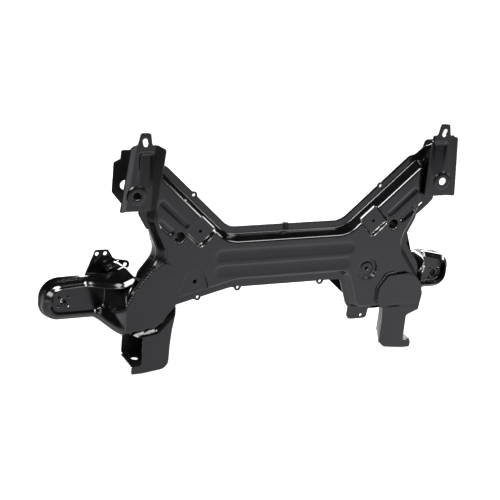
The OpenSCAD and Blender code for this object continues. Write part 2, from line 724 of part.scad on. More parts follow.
// The row frame: midway between the body mount bolts, where their collars meet the car
module in_frame() {
    translate([0, -skirt_y, -mount_z]) children();
}

in_frame() front_pan();
in_frame() rear_pan();
in_frame() end_bracket(-1);  // left_end_bracket
in_frame() end_bracket(1);  // right_end_bracket
in_frame() back_plate(-1);  // left_back_plate
in_frame() back_plate(1);  // right_back_plate
in_frame() pod_dish(-1);  // left_pod_dish
in_frame() pod_dish(1);  // right_pod_dish
in_frame() pod_collar(-1);  // left_pod_collar
in_frame() pod_collar(1);  // right_pod_collar
in_frame() leg_bracket(-1);  // left_leg_bracket
in_frame() leg_bracket(1);  // right_leg_bracket
in_frame() leg_channel(-1);  // left_leg_channel
in_frame() leg_channel(1);  // right_leg_channel
in_frame() rack_tube(-1);  // left_rack_tube
in_frame() rack_tube(1);  // right_rack_tube
in_frame() line_bracket(-1);  // left_line_bracket
in_frame() line_bracket(1);  // right_line_bracket
in_frame() arch_stay(-1);  // left_arch_stay
in_frame() arch_stay(1);  // right_arch_stay
in_frame() lower_stay();
in_frame() flange_clip();
in_frame() weld_nuts();
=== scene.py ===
"""Looks of a pressed steel front subframe: smooth pressings, mounts, brackets, welds and black paint.

Sizes are millimetres, counted from the feet (z) and the lower face (y) as in the part's source. row_frame()
moves them to the row's frame, in metres.
"""

import logging
import math
from dataclasses import dataclass, field
from enum import Enum
from typing import Callable, Sequence

import bmesh
import bpy
import numpy as np
from mathutils import Matrix, Vector
from mathutils.geometry import delaunay_2d_cdt


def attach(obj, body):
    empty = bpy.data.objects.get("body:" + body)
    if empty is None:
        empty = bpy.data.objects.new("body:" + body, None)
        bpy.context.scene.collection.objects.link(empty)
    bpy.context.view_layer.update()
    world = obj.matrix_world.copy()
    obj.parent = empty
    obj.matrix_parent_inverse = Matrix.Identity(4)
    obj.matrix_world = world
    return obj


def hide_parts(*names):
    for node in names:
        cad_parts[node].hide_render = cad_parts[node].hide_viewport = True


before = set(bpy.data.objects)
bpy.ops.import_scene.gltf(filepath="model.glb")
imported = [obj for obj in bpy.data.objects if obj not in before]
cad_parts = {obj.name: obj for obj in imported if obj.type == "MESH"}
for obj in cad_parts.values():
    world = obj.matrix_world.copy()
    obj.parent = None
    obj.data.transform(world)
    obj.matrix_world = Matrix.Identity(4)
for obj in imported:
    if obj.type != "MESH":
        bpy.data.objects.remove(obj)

log = logging.getLogger("subframe")

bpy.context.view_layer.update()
ROW_SHIFT = np.array([0.0, -140.0, -122.0])
METRE = 0.001
FLOOR_Z = float(ROW_SHIFT[2]) * METRE
# Least radius of a corner, and the radius under which a turned form has fewer points
LEAST_RADIUS = 0.4
SMALL_FORM = 8.0
# Distances at which the points of a new skin, of a copied node and of a flat edge are joined
MERGE = 0.02
NODE_MERGE = 0.01
FLAT_EDGE = 0.005
# Least rise of an edge in the inside test, and the tolerance of the triangulation
LEAST_RISE = 1e-9
PLAN_TOLERANCE = 1e-5
# Points tested at once against a loop's edges, and against a loop's points
EDGE_CHUNK = 3000
POINT_CHUNK = 500
# Share of the grid's pitch by which its points stay clear of loops
CLEAR_SHARE = 0.55
# Angle above which an edge is shaded sharp
SHARP_ANGLE = math.radians(38)
# How far a flange edge may be pushed out, and in which steps
PUSH_REACH = 62.0
PUSH_STEP = 0.25
# Distance of plan points from a shape, negative inside it
Shape = Callable[[np.ndarray], np.ndarray]


class Side(Enum):
    """Which half of the subframe a piece is on."""

    LEFT = -1
    RIGHT = 1

    @property
    def word(self) -> str:
        """The side's name in the names of pieces and nodes."""
        return self.name.lower()


class Slot(Enum):
    """The record's material slots."""

    FRAME_PAINT = "frame_paint"
    INNER_PAINT = "inner_paint"
    CLIP_COATING = "clip_coating"


def row_frame(points: np.ndarray) -> np.ndarray:
    """Points in millimetres from the feet and the face, as metres in the row's frame."""
    return (points + ROW_SHIFT) * METRE


def ease(value: np.ndarray) -> np.ndarray:
    """Smooth step: 0 below 0, 1 above 1, three t squared less two t cubed between."""
    t = np.clip(value, 0.0, 1.0)
    return t * t * (3.0 - 2.0 * t)


def outline(
    rows: np.ndarray,
    grow: float = 0.0,
    share: float = 0.0,
    steps: int = 8,
    pitch: float = 4.0,
    parts: Sequence[int] | None = None,
) -> np.ndarray:
    """Closed anticlockwise outline with rounded corners.

    Formula: each edge moves outwards by grow plus share of its own flange. A corner of radius r becomes
    an arc that touches both moved edges, its radius r plus the mean move, or minus it at an inner corner.
    Straight runs are divided by pitch, counted on the unmoved outline so that all rings of a loft match.

    Args:
        rows: Corners as (x, z, radius, flange of the edge that leaves the corner).
        grow: Move of every edge, in mm.
        share: Share of each edge's flange added to the move.
        steps: Parts of each corner's arc.
        pitch: Length of the parts of a straight run.
        parts: Number of parts of each straight run, where it isn't counted from pitch.

    Returns:
        Points as an (n, 2) array.
    """
    corner = rows[:, :2]
    along = np.roll(corner, -1, 0) - corner
    length = np.linalg.norm(along, axis=1)
    unit = along / length[:, None]
    leave = np.stack([unit[:, 1], -unit[:, 0]], 1)
    arrive = np.roll(leave, 1, 0)
    move = grow + share * rows[:, 3]
    before = np.roll(move, 1)
    det = arrive[:, 0] * leave[:, 1] - arrive[:, 1] * leave[:, 0]
    dot = (arrive * leave).sum(1)
    shift_x = before * leave[:, 1] - move * arrive[:, 1]
    shift_z = move * arrive[:, 0] - before * leave[:, 0]
    moved = corner + np.stack([shift_x, shift_z], 1) / det[:, None]
    sense = np.sign(det)
    radius = np.maximum(LEAST_RADIUS, rows[:, 2] + sense * (move + before) / 2)
    middle = moved - (arrive + leave) * (sense * radius / (1 + dot))[:, None]
    turn = np.arctan2(det, dot)
    angle = np.arctan2(arrive[:, 1], arrive[:, 0])[:, None] + turn[:, None] * np.linspace(0, 1, steps + 1)
    arcs = middle[:, None] + (sense * radius)[:, None, None] * np.stack([np.cos(angle), np.sin(angle)], -1)
    reach = rows[:, 2] * np.tan(np.abs(turn) / 2)
    runs = np.maximum(1, np.ceil((length - reach - np.roll(reach, -1)) / pitch)).astype(int)
    runs = runs if parts is None else parts
    ends = np.roll(arcs[:, 0], -1, 0)
    pieces = [
        np.concatenate([arc, arc[-1] + (end - arc[-1]) * np.linspace(0, 1, run + 1)[1:-1, None]])
        for arc, end, run in zip(arcs, ends, runs)
    ]
    return np.concatenate(pieces)


def circle(centre: Sequence[float], radius: float, count: int = 40) -> np.ndarray:
    """Anticlockwise circle: centre plus radius times the cosine and sine of count even angles."""
    angle = np.linspace(0, 2 * np.pi, count, endpoint=False)
    return np.array(centre, float) + radius * np.stack([np.cos(angle), np.sin(angle)], 1)


def stadium(start: Sequence[float], end: Sequence[float], width: float, corner: float) -> np.ndarray:
    """Corner rows of a long bead from start to end.

    Args:
        start: First end of the bead, on its centre line.
        end: Other end of the bead.
        width: Width across the bead.
        corner: Radius of its four corners.

    Returns:
        Four corner rows, anticlockwise.
    """
    first, last = np.array(start, float), np.array(end, float)
    unit = (last - first) / np.linalg.norm(last - first)
    across = np.array([-unit[1], unit[0]]) * width / 2
    back = unit * width / 2
    corners = [first - back - across, last + back - across, last + back + across, first - back + across]
    return np.array([[x, z, corner, 0.0] for x, z in corners])


def inside(points: np.ndarray, loop: np.ndarray) -> np.ndarray:
    """Even-odd test of points against a closed loop.

    Args:
        points: Points as an (n, 2) array.
        loop: The loop's points, in order.

    Returns:
        True for each point inside the loop.
    """
    first, last = loop, np.roll(loop, -1, 0)
    rise = last[:, 1] - first[:, 1]
    rise = np.where(np.abs(rise) < LEAST_RISE, LEAST_RISE, rise)
    slope = (last[:, 0] - first[:, 0]) / rise
    parts = []
    for chunk in np.array_split(points, max(1, len(points) // EDGE_CHUNK)):
        x, z = chunk[:, :1], chunk[:, 1:2]
        crosses = (first[:, 1] > z) != (last[:, 1] > z)
        parts.append((crosses & (x < first[:, 0] + (z - first[:, 1]) * slope)).sum(1) % 2 == 1)
    return np.concatenate(parts)


def away(points: np.ndarray, loops: Sequence[np.ndarray], least: float) -> np.ndarray:
    """Tests which points are clear of loops.

    Args:
        points: Points as an (n, 2) array.
        loops: Loops of points.
        least: Least distance from every point of the loops.

    Returns:
        True for each point that is clear.
    """
    rim = np.concatenate(loops)
    parts = [
        (((chunk[:, None] - rim) ** 2).sum(2)).min(1) > least * least
        for chunk in np.array_split(points, max(1, len(points) // POINT_CHUNK))
    ]
    return np.concatenate(parts)


@dataclass
class Relief:
    """A pressed form in a sheet, given by nested loops and the height of each.

    Attributes:
        loops: Loops from the outermost to the innermost.
        heights: Height of the sheet at each loop, towards the inside of the part.
        hole: True where the innermost loop is the edge of a hole.
    """

    loops: list[np.ndarray]
    heights: list[float]
    hole: bool = False

    @classmethod
    def turned(cls, centre: Sequence[float], profile: Sequence[tuple[float, float]]) -> "Relief":
        """A hole with the form that is turned round it.

        Args:
            centre: Centre of the form.
            profile: Rows of (radius, height) from the outside in, the last one the edge of the hole.

        Returns:
            The relief.
        """
        count = 28 if profile[0][0] < SMALL_FORM else 48
        loops = [circle(centre, radius, count) for radius, _ in profile]
        return cls(loops, [height for _, height in profile], True)

    @classmethod
    def pressed(cls, rows: np.ndarray, wall: float, height: float) -> "Relief":
        """A form whose wall eases from the sheet to its own flat.

        Args:
            rows: Corner rows of the middle of the wall.
            wall: Width of the wall in plan.
            height: Height of the flat.

        Returns:
            The relief, with seven loops across its wall.
        """
        across = np.linspace(0, 1, 7)
        loops = [outline(rows, wall * (0.5 - t), steps=7, pitch=5.0) for t in across]
        return cls(loops, list(height * ease(across)))


@dataclass
class Sheet:
    """A flat blank with pressed forms and holes, filled with triangles that follow its loops.

    Attributes:
        rim: The blank's outer edge.
        reliefs: Pressed forms and holes.
        holes: Inner edges of a ring-shaped blank.
        grid: Spacing of the points between the loops.
        fine: Boxes as (lowest, highest corner) where the points lie closer.
        fine_grid: Spacing of the points in those boxes.
    """

    rim: np.ndarray
    reliefs: list[Relief] = field(default_factory=list)
    holes: list[np.ndarray] = field(default_factory=list)
    grid: float = 6.0
    fine: list[np.ndarray] = field(default_factory=list)
    fine_grid: float = 1.1

    def fill(self) -> tuple[np.ndarray, np.ndarray, np.ndarray]:
        """Triangles over the blank.

        Formula: a constrained triangulation of the rim, the holes, every relief's loops and a square grid
        of points, less the triangles whose middle is outside the rim or in a hole. A grid point inside a
        relief's innermost loop has that loop's height, and one on its wall is left out.

        Returns:
            Plan points (n, 2), their heights (n) and the triangles (m, 3), anticlockwise.
        """
        loops = [self.rim, *self.holes]
        heights = [np.zeros(len(loop)) for loop in loops]
        for relief in self.reliefs:
            loops += relief.loops
            heights += [np.full(len(loop), height) for loop, height in zip(relief.loops, relief.heights)]
        spots, levels = self._spots(loops)
        starts = np.cumsum([0] + [len(loop) for loop in loops[:-1]])
        edges = [
            np.stack([start + np.arange(len(loop)), start + (np.arange(len(loop)) + 1) % len(loop)], 1)
            for start, loop in zip(starts, loops)
        ]
        plan = np.concatenate([*loops, spots])
        height = np.concatenate([*heights, levels])
        made = delaunay_2d_cdt(plan.tolist(), np.concatenate(edges).tolist(), [], 0, PLAN_TOLERANCE)
        points = np.array([tuple(p) for p in made[0]], float)
        faces = np.array(made[2], int)
        source = np.array([ids[0] if len(ids) else 0 for ids in made[3]], int)
        middle = points[faces].mean(1)
        keep = inside(middle, self.rim)
        for loop in self.holes + [relief.loops[-1] for relief in self.reliefs if relief.hole]:
            keep &= ~inside(middle, loop)
        return points, height[source], faces[keep]

    def _spots(self, loops: list[np.ndarray]) -> tuple[np.ndarray, np.ndarray]:
        """Grid points clear of the loops, with their heights.

        Args:
            loops: All loops of the blank.

        Returns:
            Points (n, 2) and heights (n).
        """
        coarse = self._grid(self.rim.min(0), self.rim.max(0), self.grid)
        for box in self.fine:
            coarse = coarse[~((coarse > box[0]) & (coarse < box[1])).all(1)]
        close = [self._grid(box[0], box[1], self.fine_grid) for box in self.fine]
        parts = [self._kept(coarse, loops, self.grid)]
        parts += [self._kept(spots, loops, self.fine_grid) for spots in close]
        return tuple(np.concatenate(column) for column in zip(*parts))

    def _grid(self, low: np.ndarray, high: np.ndarray, pitch: float) -> np.ndarray:
        """Points of a square grid between two corners, as an (n, 2) array."""
        x, z = np.meshgrid(np.arange(low[0], high[0], pitch), np.arange(low[1], high[1], pitch))
        return np.stack([x.ravel(), z.ravel()], 1)

    def _kept(
        self, spots: np.ndarray, loops: list[np.ndarray], pitch: float
    ) -> tuple[np.ndarray, np.ndarray]:
        """Grid points that lie in the blank, off the walls of its forms and clear of its loops.

        Args:
            spots: Points (n, 2).
            loops: All loops of the blank.
            pitch: Spacing of the points.

        Returns:
            The kept points and their heights.
        """
        keep = inside(spots, self.rim)
        levels = np.zeros(len(spots))
        for loop in self.holes:
            keep &= ~inside(spots, loop)
        for relief in self.reliefs:
            within, deep = inside(spots, relief.loops[0]), inside(spots, relief.loops[-1])
            keep &= ~(within & ~deep)
            if relief.hole:
                keep &= ~deep
            levels = np.where(deep, relief.heights[-1], levels)
        spots, levels = spots[keep], levels[keep]
        clear = away(spots, loops, pitch * CLEAR_SHARE) if len(spots) else np.zeros(0, bool)
        return spots[clear], levels[clear]


class Mesh:
    """Collects points and faces of one piece, in millimetres."""

    def __init__(self) -> None:
        """Starts with nothing."""
        self.points: list[np.ndarray] = []
        self.faces: list[list[int]] = []
        self.count = 0

    def add(self, points: np.ndarray, faces: np.ndarray) -> None:
        """Adds points with the faces over them.

        Args:
            points: Points as an (n, 3) array.
            faces: Rows of indices into those points.
        """
        self.points.append(points)
        self.faces += (faces + self.count).tolist()
        self.count += len(points)

    def add_grid(self, rings: np.ndarray) -> None:
        """Adds quads over rings of points, each ring closed on itself.

        Args:
            rings: Points of the rings in order, as a (k, n, 3) array.
        """
        rows, columns = rings.shape[:2]
        index = np.arange(rows * columns).reshape(rows, columns)
        after = np.roll(index, -1, 1)
        quads = np.stack([index[:-1], after[:-1], after[1:], index[1:]], -1)
        self.add(rings.reshape(-1, 3), quads.reshape(-1, 4))

    def mirror(self) -> None:
        """Turns a right piece into a left one, with its faces still outwards."""
        self.points = [points * np.array([-1.0, 1.0, 1.0]) for points in self.points]
        self.faces = [face[::-1] for face in self.faces]

    def object(self, name: str) -> bpy.types.Object:
        """Makes the Blender object, with points that meet joined.

        Args:
            name: Name of the piece.

        Returns:
            The object, linked to the scene, in metres.
        """
        mesh = bpy.data.meshes.new(name)
        mesh.from_pydata(row_frame(np.concatenate(self.points)).tolist(), [], self.faces)
        tool = bmesh.new()
        tool.from_mesh(mesh)
        bmesh.ops.remove_doubles(tool, verts=tool.verts, dist=MERGE * METRE)
        bmesh.ops.dissolve_degenerate(tool, edges=tool.edges, dist=FLAT_EDGE * METRE)
        tool.to_mesh(mesh)
        tool.free()
        piece = bpy.data.objects.new(name, mesh)
        bpy.context.scene.collection.objects.link(piece)
        return piece


def settle(piece: bpy.types.Object) -> bpy.types.Object:
    """Applies the piece's modifiers and shades it smooth, with its sharp edges kept.

    Args:
        piece: The object.

    Returns:
        The same object with its final mesh.
    """
    bpy.context.view_layer.update()
    shape = piece.evaluated_get(bpy.context.evaluated_depsgraph_get())
    mesh = bpy.data.meshes.new_from_object(shape)
    piece.modifiers.clear()
    piece.data = mesh
    mesh.shade_smooth()
    mesh.set_sharp_from_angle(angle=SHARP_ANGLE)
    return piece


def break_edges(piece: bpy.types.Object, width: float, segments: int, turn: float) -> None:
    """Adds a bevel over the edges that turn by more than an angle.

    Args:
        piece: The object.
        width: Bevel width in millimetres.
        segments: Parts of the bevel.
        turn: The angle in degrees.
    """
    bevel = piece.modifiers.new("edge", "BEVEL")
    bevel.width = width * METRE
    bevel.segments = segments
    bevel.limit_method = "ANGLE"
    bevel.angle_limit = math.radians(turn)


def thicken(piece: bpy.types.Object, thickness: float, edge: float = 0.5) -> bpy.types.Object:
    """Gives a skin its sheet thickness, away from its outer side, and breaks the edges.

    Args:
        piece: The object whose faces point outwards.
        thickness: Sheet thickness in millimetres.
        edge: Width of the broken edges.

    Returns:
        The settled object.
    """
    solid = piece.modifiers.new("sheet", "SOLIDIFY")
    solid.thickness = thickness * METRE
    solid.offset = -1.0
    solid.use_even_offset = False
    break_edges(piece, edge, 2, 60.0)
    return settle(piece)


def bevelled_node(node: str, name: str, width: float) -> bpy.types.Object:
    """A copy of a CAD node with its triangles joined and its edges broken.

    Args:
        node: Name of the node.
        name: Name of the piece.
        width: Bevel width in millimetres.

    Returns:
        The settled object.
    """
    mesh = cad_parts[node].data.copy()
    mesh.materials.clear()
    tool = bmesh.new()
    tool.from_mesh(mesh)
    bmesh.ops.remove_doubles(tool, verts=tool.verts, dist=NODE_MERGE * METRE)
    bmesh.ops.dissolve_limit(tool, angle_limit=math.radians(1), verts=tool.verts, edges=tool.edges)
    tool.to_mesh(mesh)
    tool.free()
    piece = bpy.data.objects.new(name, mesh)
    bpy.context.scene.collection.objects.link(piece)
    break_edges(piece, width, 3, 32.0)
    return settle(piece)


class Nodes:
    """Small helper that adds shader nodes to one tree. A value is a plain value or another node's socket."""

    def __init__(self, tree: bpy.types.NodeTree) -> None:
        """Keeps the tree."""
        self.tree = tree

    def feed(self, target: bpy.types.NodeSocket, value: object) -> None:
        """Links a socket to the target, or sets the target's plain value.

        Args:
            target: Input of a node.
            value: The value.
        """
        if isinstance(value, bpy.types.NodeSocket):
            self.tree.links.new(value, target)
        else:
            target.default_value = value

    def add(self, kind: str, **values: object) -> bpy.types.Node:
        """A new node with its values set.

        Args:
            kind: Blender's name of the node type.
            values: Inputs by name, or properties where no input has that name.

        Returns:
            The node.
        """
        node = self.tree.nodes.new(kind)
        for name, value in values.items():
            if name in node.inputs:
                self.feed(node.inputs[name], value)
            else:
                setattr(node, name, value)
        return node

    def math(self, operation: str, *values: object, kind: str = "ShaderNodeMath") -> bpy.types.NodeSocket:
        """The result of a calculation on values.

        Args:
            operation: Blender's name of the operation.
            values: The values in order.
            kind: The node type, for numbers or for vectors.

        Returns:
            The result's socket.
        """
        node = self.add(kind, operation=operation)
        for target, value in zip(node.inputs, values):
            self.feed(target, value)
        return node.outputs[1 if operation == "DISTANCE" else 0]

    def mix(self, factor: object, first: object, second: object) -> bpy.types.NodeSocket:
        """A mix of two colours.

        Args:
            factor: Share of the second colour.
            first: First colour.
            second: Second colour.

        Returns:
            The colour's socket.
        """
        node = self.add("ShaderNodeMix", data_type="RGBA")
        for index, value in ((0, factor), (6, first), (7, second)):
            self.feed(node.inputs[index], value)
        return node.outputs[2]

    def ramp(
        self, value: object, start: float, end: float, first: float = 0.0, last: float = 1.0
    ) -> bpy.types.NodeSocket:
        """A smooth run from one level to another.

        Args:
            value: What the run follows.
            start: Value where it starts.
            end: Value where it ends.
            first: Level before the start.
            last: Level after the end.

        Returns:
            The level's socket.
        """
        node = self.add("ShaderNodeMapRange", interpolation_type="SMOOTHSTEP", Value=value)
        levels = {"From Min": start, "From Max": end, "To Min": first, "To Max": last}
        for name, level in levels.items():
            node.inputs[name].default_value = level
        return node.outputs["Result"]


class CoatGroup:
    """Shader node group of a dipped coat: mottled colour, mottled gloss and a fine skin."""

    def __init__(self) -> None:
        """Makes the group once."""
        self.tree = bpy.data.node_groups.new("dipped_coat", "ShaderNodeTree")
        sockets = [
            ("INPUT", "Color", ("Base", "Bloom")),
            ("INPUT", "Float", ("Gloss", "Spread", "Grain")),
            ("OUTPUT", "Color", ("Colour",)),
            ("OUTPUT", "Float", ("Roughness", "Height")),
        ]
        for way, kind, names in sockets:
            for name in names:
                self.tree.interface.new_socket(name, in_out=way, socket_type="NodeSocket" + kind)
        self._wire()

    def _wire(self) -> None:
        """Wires large clouds to colour and gloss, and fine grain with slow waves to height."""
        kit = Nodes(self.tree)
        given = kit.add("NodeGroupInput").outputs
        target = kit.add("NodeGroupOutput").inputs
        place = kit.add("ShaderNodeTexCoord").outputs["Object"]
        large = kit.add("ShaderNodeTexNoise", Vector=place, Scale=16.0, Detail=5.0, Roughness=0.6)
        small = kit.add("ShaderNodeTexNoise", Vector=place, Scale=60.0, Detail=3.0, Roughness=0.5)
        fine = kit.add("ShaderNodeTexNoise", Vector=place, Scale=given["Grain"], Detail=2.0, Roughness=0.5)
        clouds, runs, grain = (texture.outputs["Fac"] for texture in (large, small, fine))
        kit.feed(target["Colour"], kit.mix(kit.ramp(clouds, 0.42, 0.68), given["Base"], given["Bloom"]))
        centred = kit.math("SUBTRACT", kit.math("ADD", clouds, runs), 1.0)
        rough = kit.math("ADD", kit.math("MULTIPLY", centred, given["Spread"]), given["Gloss"])
        rough.node.use_clamp = True
        kit.feed(target["Roughness"], rough)
        kit.feed(target["Height"], kit.math("MULTIPLY_ADD", runs, 1.6, grain))


@dataclass(frozen=True)
class Coat:
    """A finish made with the dipped coat group.

    Attributes:
        name: Name of the material.
        base: Linear base colour.
        bloom: Linear colour of the paler clouds.
        gloss: Mean roughness.
        spread: How far the roughness wanders.
        grain: Scale of the fine skin.
        bump: Strength of the bump.
        depth: Height of the bump in metres.
        specular: Specular level.
    """

    name: str
    base: tuple[float, float, float]
    bloom: tuple[float, float, float]
    gloss: float
    spread: float
    grain: float
    bump: float
    depth: float
    specular: float

    def material(self, group: CoatGroup) -> bpy.types.Material:
        """The finish as a material.

        Args:
            group: The shared shader group.

        Returns:
            The material.
        """
        made = bpy.data.materials.new(self.name)
        made.use_nodes = True
        kit = Nodes(made.node_tree)
        coat = kit.add(
            "ShaderNodeGroup",
            node_tree=group.tree,
            Base=(*self.base, 1.0),
            Bloom=(*self.bloom, 1.0),
            Gloss=self.gloss,
            Spread=self.spread,
            Grain=self.grain,
        ).outputs
        bump = kit.add("ShaderNodeBump", Strength=self.bump, Distance=self.depth, Height=coat["Height"])
        shader = made.node_tree.nodes["Principled BSDF"].inputs
        kit.feed(shader["Specular IOR Level"], self.specular)
        kit.feed(shader["Base Color"], coat["Colour"])
        kit.feed(shader["Roughness"], coat["Roughness"])
        kit.feed(shader["Normal"], bump.outputs["Normal"])
        return made


FRAME_PAINT = Coat(
    name="black_dip_paint",
    base=(0.0012, 0.0012, 0.0014),
    bloom=(0.0022, 0.0022, 0.0026),
    gloss=0.14,
    spread=0.07,
    grain=700.0,
    bump=0.05,
    depth=0.0003,
    specular=0.62,
)
INNER_PAINT = Coat(
    name="thin_inner_paint",
    base=(0.0016, 0.0016, 0.0018),
    bloom=(0.0028, 0.0028, 0.0030),
    gloss=0.36,
    spread=0.12,
    grain=600.0,
    bump=0.10,
    depth=0.0004,
    specular=0.22,
)
CLIP_COATING = Coat(
    name="clip_coating",
    base=(0.003, 0.003, 0.0032),
    bloom=(0.006, 0.006, 0.0064),
    gloss=0.42,
    spread=0.10,
    grain=900.0,
    bump=0.08,
    depth=0.0002,
    specular=0.25,
)
WELD_PAINT = Coat(
    name="painted_weld",
    base=(0.0016, 0.0016, 0.0018),
    bloom=(0.0030, 0.0030, 0.0033),
    gloss=0.22,
    spread=0.10,
    grain=900.0,
    bump=0.16,
    depth=0.0004,
    specular=0.3,
)


class Dresser:
    """Gives pieces their material and body, and hides the CAD nodes that they stand for."""

    def __init__(self) -> None:
        """Makes one material for each finish."""
        group = CoatGroup()
        coats = (FRAME_PAINT, INNER_PAINT, CLIP_COATING, WELD_PAINT)
        self.materials = {coat.name: coat.material(group) for coat in coats}

    def dress(self, piece: bpy.types.Object, coat: Coat, slot: Slot, *nodes: str) -> bpy.types.Object:
        """Finishes one piece.

        Args:
            piece: The object.
            coat: Its finish.
            slot: The record's slot. Not used.
            nodes: CAD nodes that it stands for.

        Returns:
            The same object.
        """
        piece.data.materials.clear()
        piece.data.materials.append(self.materials[coat.name])
        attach(piece, "root")
        if nodes:
            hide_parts(*nodes)
        log.info("%s: %d faces", piece.name, len(piece.data.polygons))
        return piece


# Corners of the outline that both pressings share, each with its radius and the flange of the edge after it
FACE_ROWS = np.array([
    [-330, 104, 12, 6], [-268, 104, 12, 6], [-238, 160, 30, 16], [-110, 192, 90, 18],
    [152, 192, 24, 6], [184, 104, 16, 6], [330, 104, 12, 2], [330, 163, 30, 14],
    [268, 246.5, 50, 14], [306, 330, 20, 2], [306, 430, 7, 16], [141, 278, 65, 16],
    [-141, 278, 65, 16], [-306, 430, 7, 2], [-306, 330, 20, 3], [-268, 246.5, 50, 3],
    [-330, 163, 30, 2],
], float)
# Edges of the left waist, where the upper pressing's wall stands straight
FLANK_EDGES = [14, 15]
# Hole tabs on the seam
SEAM_TABS = [(216, 375), (-216, 375), (97, 165), (-97, 165), (-187, 150)]
# Ends of the beads on the cross member, and of those on the right arm
CROSS_BEADS = [((-150, 246), (145, 246)), ((-148, 212), (138, 212))]
ARM_BEADS = [((291, 369), (238, 320)), ((292, 327), (269, 307))]
# Lower and upper edge of the right arm's long bead at its middle, and half its length
ARM_TILT = ((271.5, 336), (257.5, 353))
ARM_TILT_HALF = 48
# Round cup, with its rows of radius and height from the rim to the hole
CUP = (198, 194)
CUP_PROFILE = [
    (24.5, 0), (23.6, 0.25), (22.9, 1.2), (22.5, 3.0), (22.1, 4.8), (21.4, 5.75), (20.4, 6.0), (16, 6.0),
    (15, 5.7), (14, 5.0), (13, 4.6), (12, 4.5), (6, 4.5), (4.6, 4.6), (4, 5.2),
]
# Arched step in the lower edge, the box round it and its hole
ARCH_CORNERS = [(-242, 150), (-170, 168), (-188, 218), (-224, 218)]
ARCH_BOX = np.array([[-250.0, 145.0], [-162.0, 228.0]])
ARCH_HOLE = (-204, 193)
# Ear under the lobe: middle, half sizes, corner radius and hole
EAR = (200, 84)
EAR_HALF = (26, 16)
EAR_CORNER = 10
EAR_HOLE = (210, 76)
# Flange plates at the tips of both arms, as on the right, their holes, and the plates at the arms' feet
ARM_TIPS = [
    [(292, 422), (318, 438), (325, 471), (292, 442)],
    [(316, 437), (338, 442), (338, 464), (325, 471)],
]
TIP_HOLES = [(329, 458), (329, 447)]
RIGHT_FOOT = [(300, 310), (318, 306), (342, 327), (353, 340), (350, 360), (310, 360)]
LEFT_FOOT = [(300, 310), (312, 306), (323, 323), (333, 340), (330, 360), (310, 360)]
# Ends of the slot in the right foot
FOOT_SLOT = ((319, 325), (325, 331))


@dataclass
class Tilt:
    """Tilts the floor of a pressed form, which is deep along its upper edge and runs out at its lower one.

    Attributes:
        low: A point on the lower edge.
        high: The point across from it on the upper edge.
        half: Half the length of the form.
        reach: How far the form goes to each side of its middle, as a share of its width.
    """

    low: tuple[float, float]
    high: tuple[float, float]
    half: float
    reach: float = 0.53

    def share(self, plan: np.ndarray) -> np.ndarray:
        """Share of the depth that is left.

        Formula: a straight run from 0 at the lower edge to 1 at the upper one, and 1 outside the form.

        Args:
            plan: Plan points.

        Returns:
            The share at each point.
        """
        across = np.array(self.high, float) - np.array(self.low, float)
        width = float(np.linalg.norm(across))
        across /= width
        middle = (np.array(self.high) + np.array(self.low)) / 2
        offset = plan - middle
        over = offset @ across
        along = offset @ np.array([across[1], -across[0]])
        near = (np.abs(over) < self.reach * width) & (np.abs(along) < self.half)
        return np.where(near, np.clip(0.5 + over / width, 0.0, 1.0), 1.0)


@dataclass
class Step:
    """A step in the edge of a pressing: the sheet drops over a wall along the edge of a shape.

    Attributes:
        shape: Distance of plan points from the step's outline, negative inside.
        depth: How far the sheet drops.
        wall: Width of the wall in plan.
        box: Lowest and highest corner of a box round the step.
    """

    shape: Shape
    depth: float
    wall: float
    box: np.ndarray

    def drop(self, plan: np.ndarray) -> np.ndarray:
        """Drop of the sheet at plan points, eased across the wall."""
        return self.depth * ease(0.5 - self.shape(plan) / self.wall)


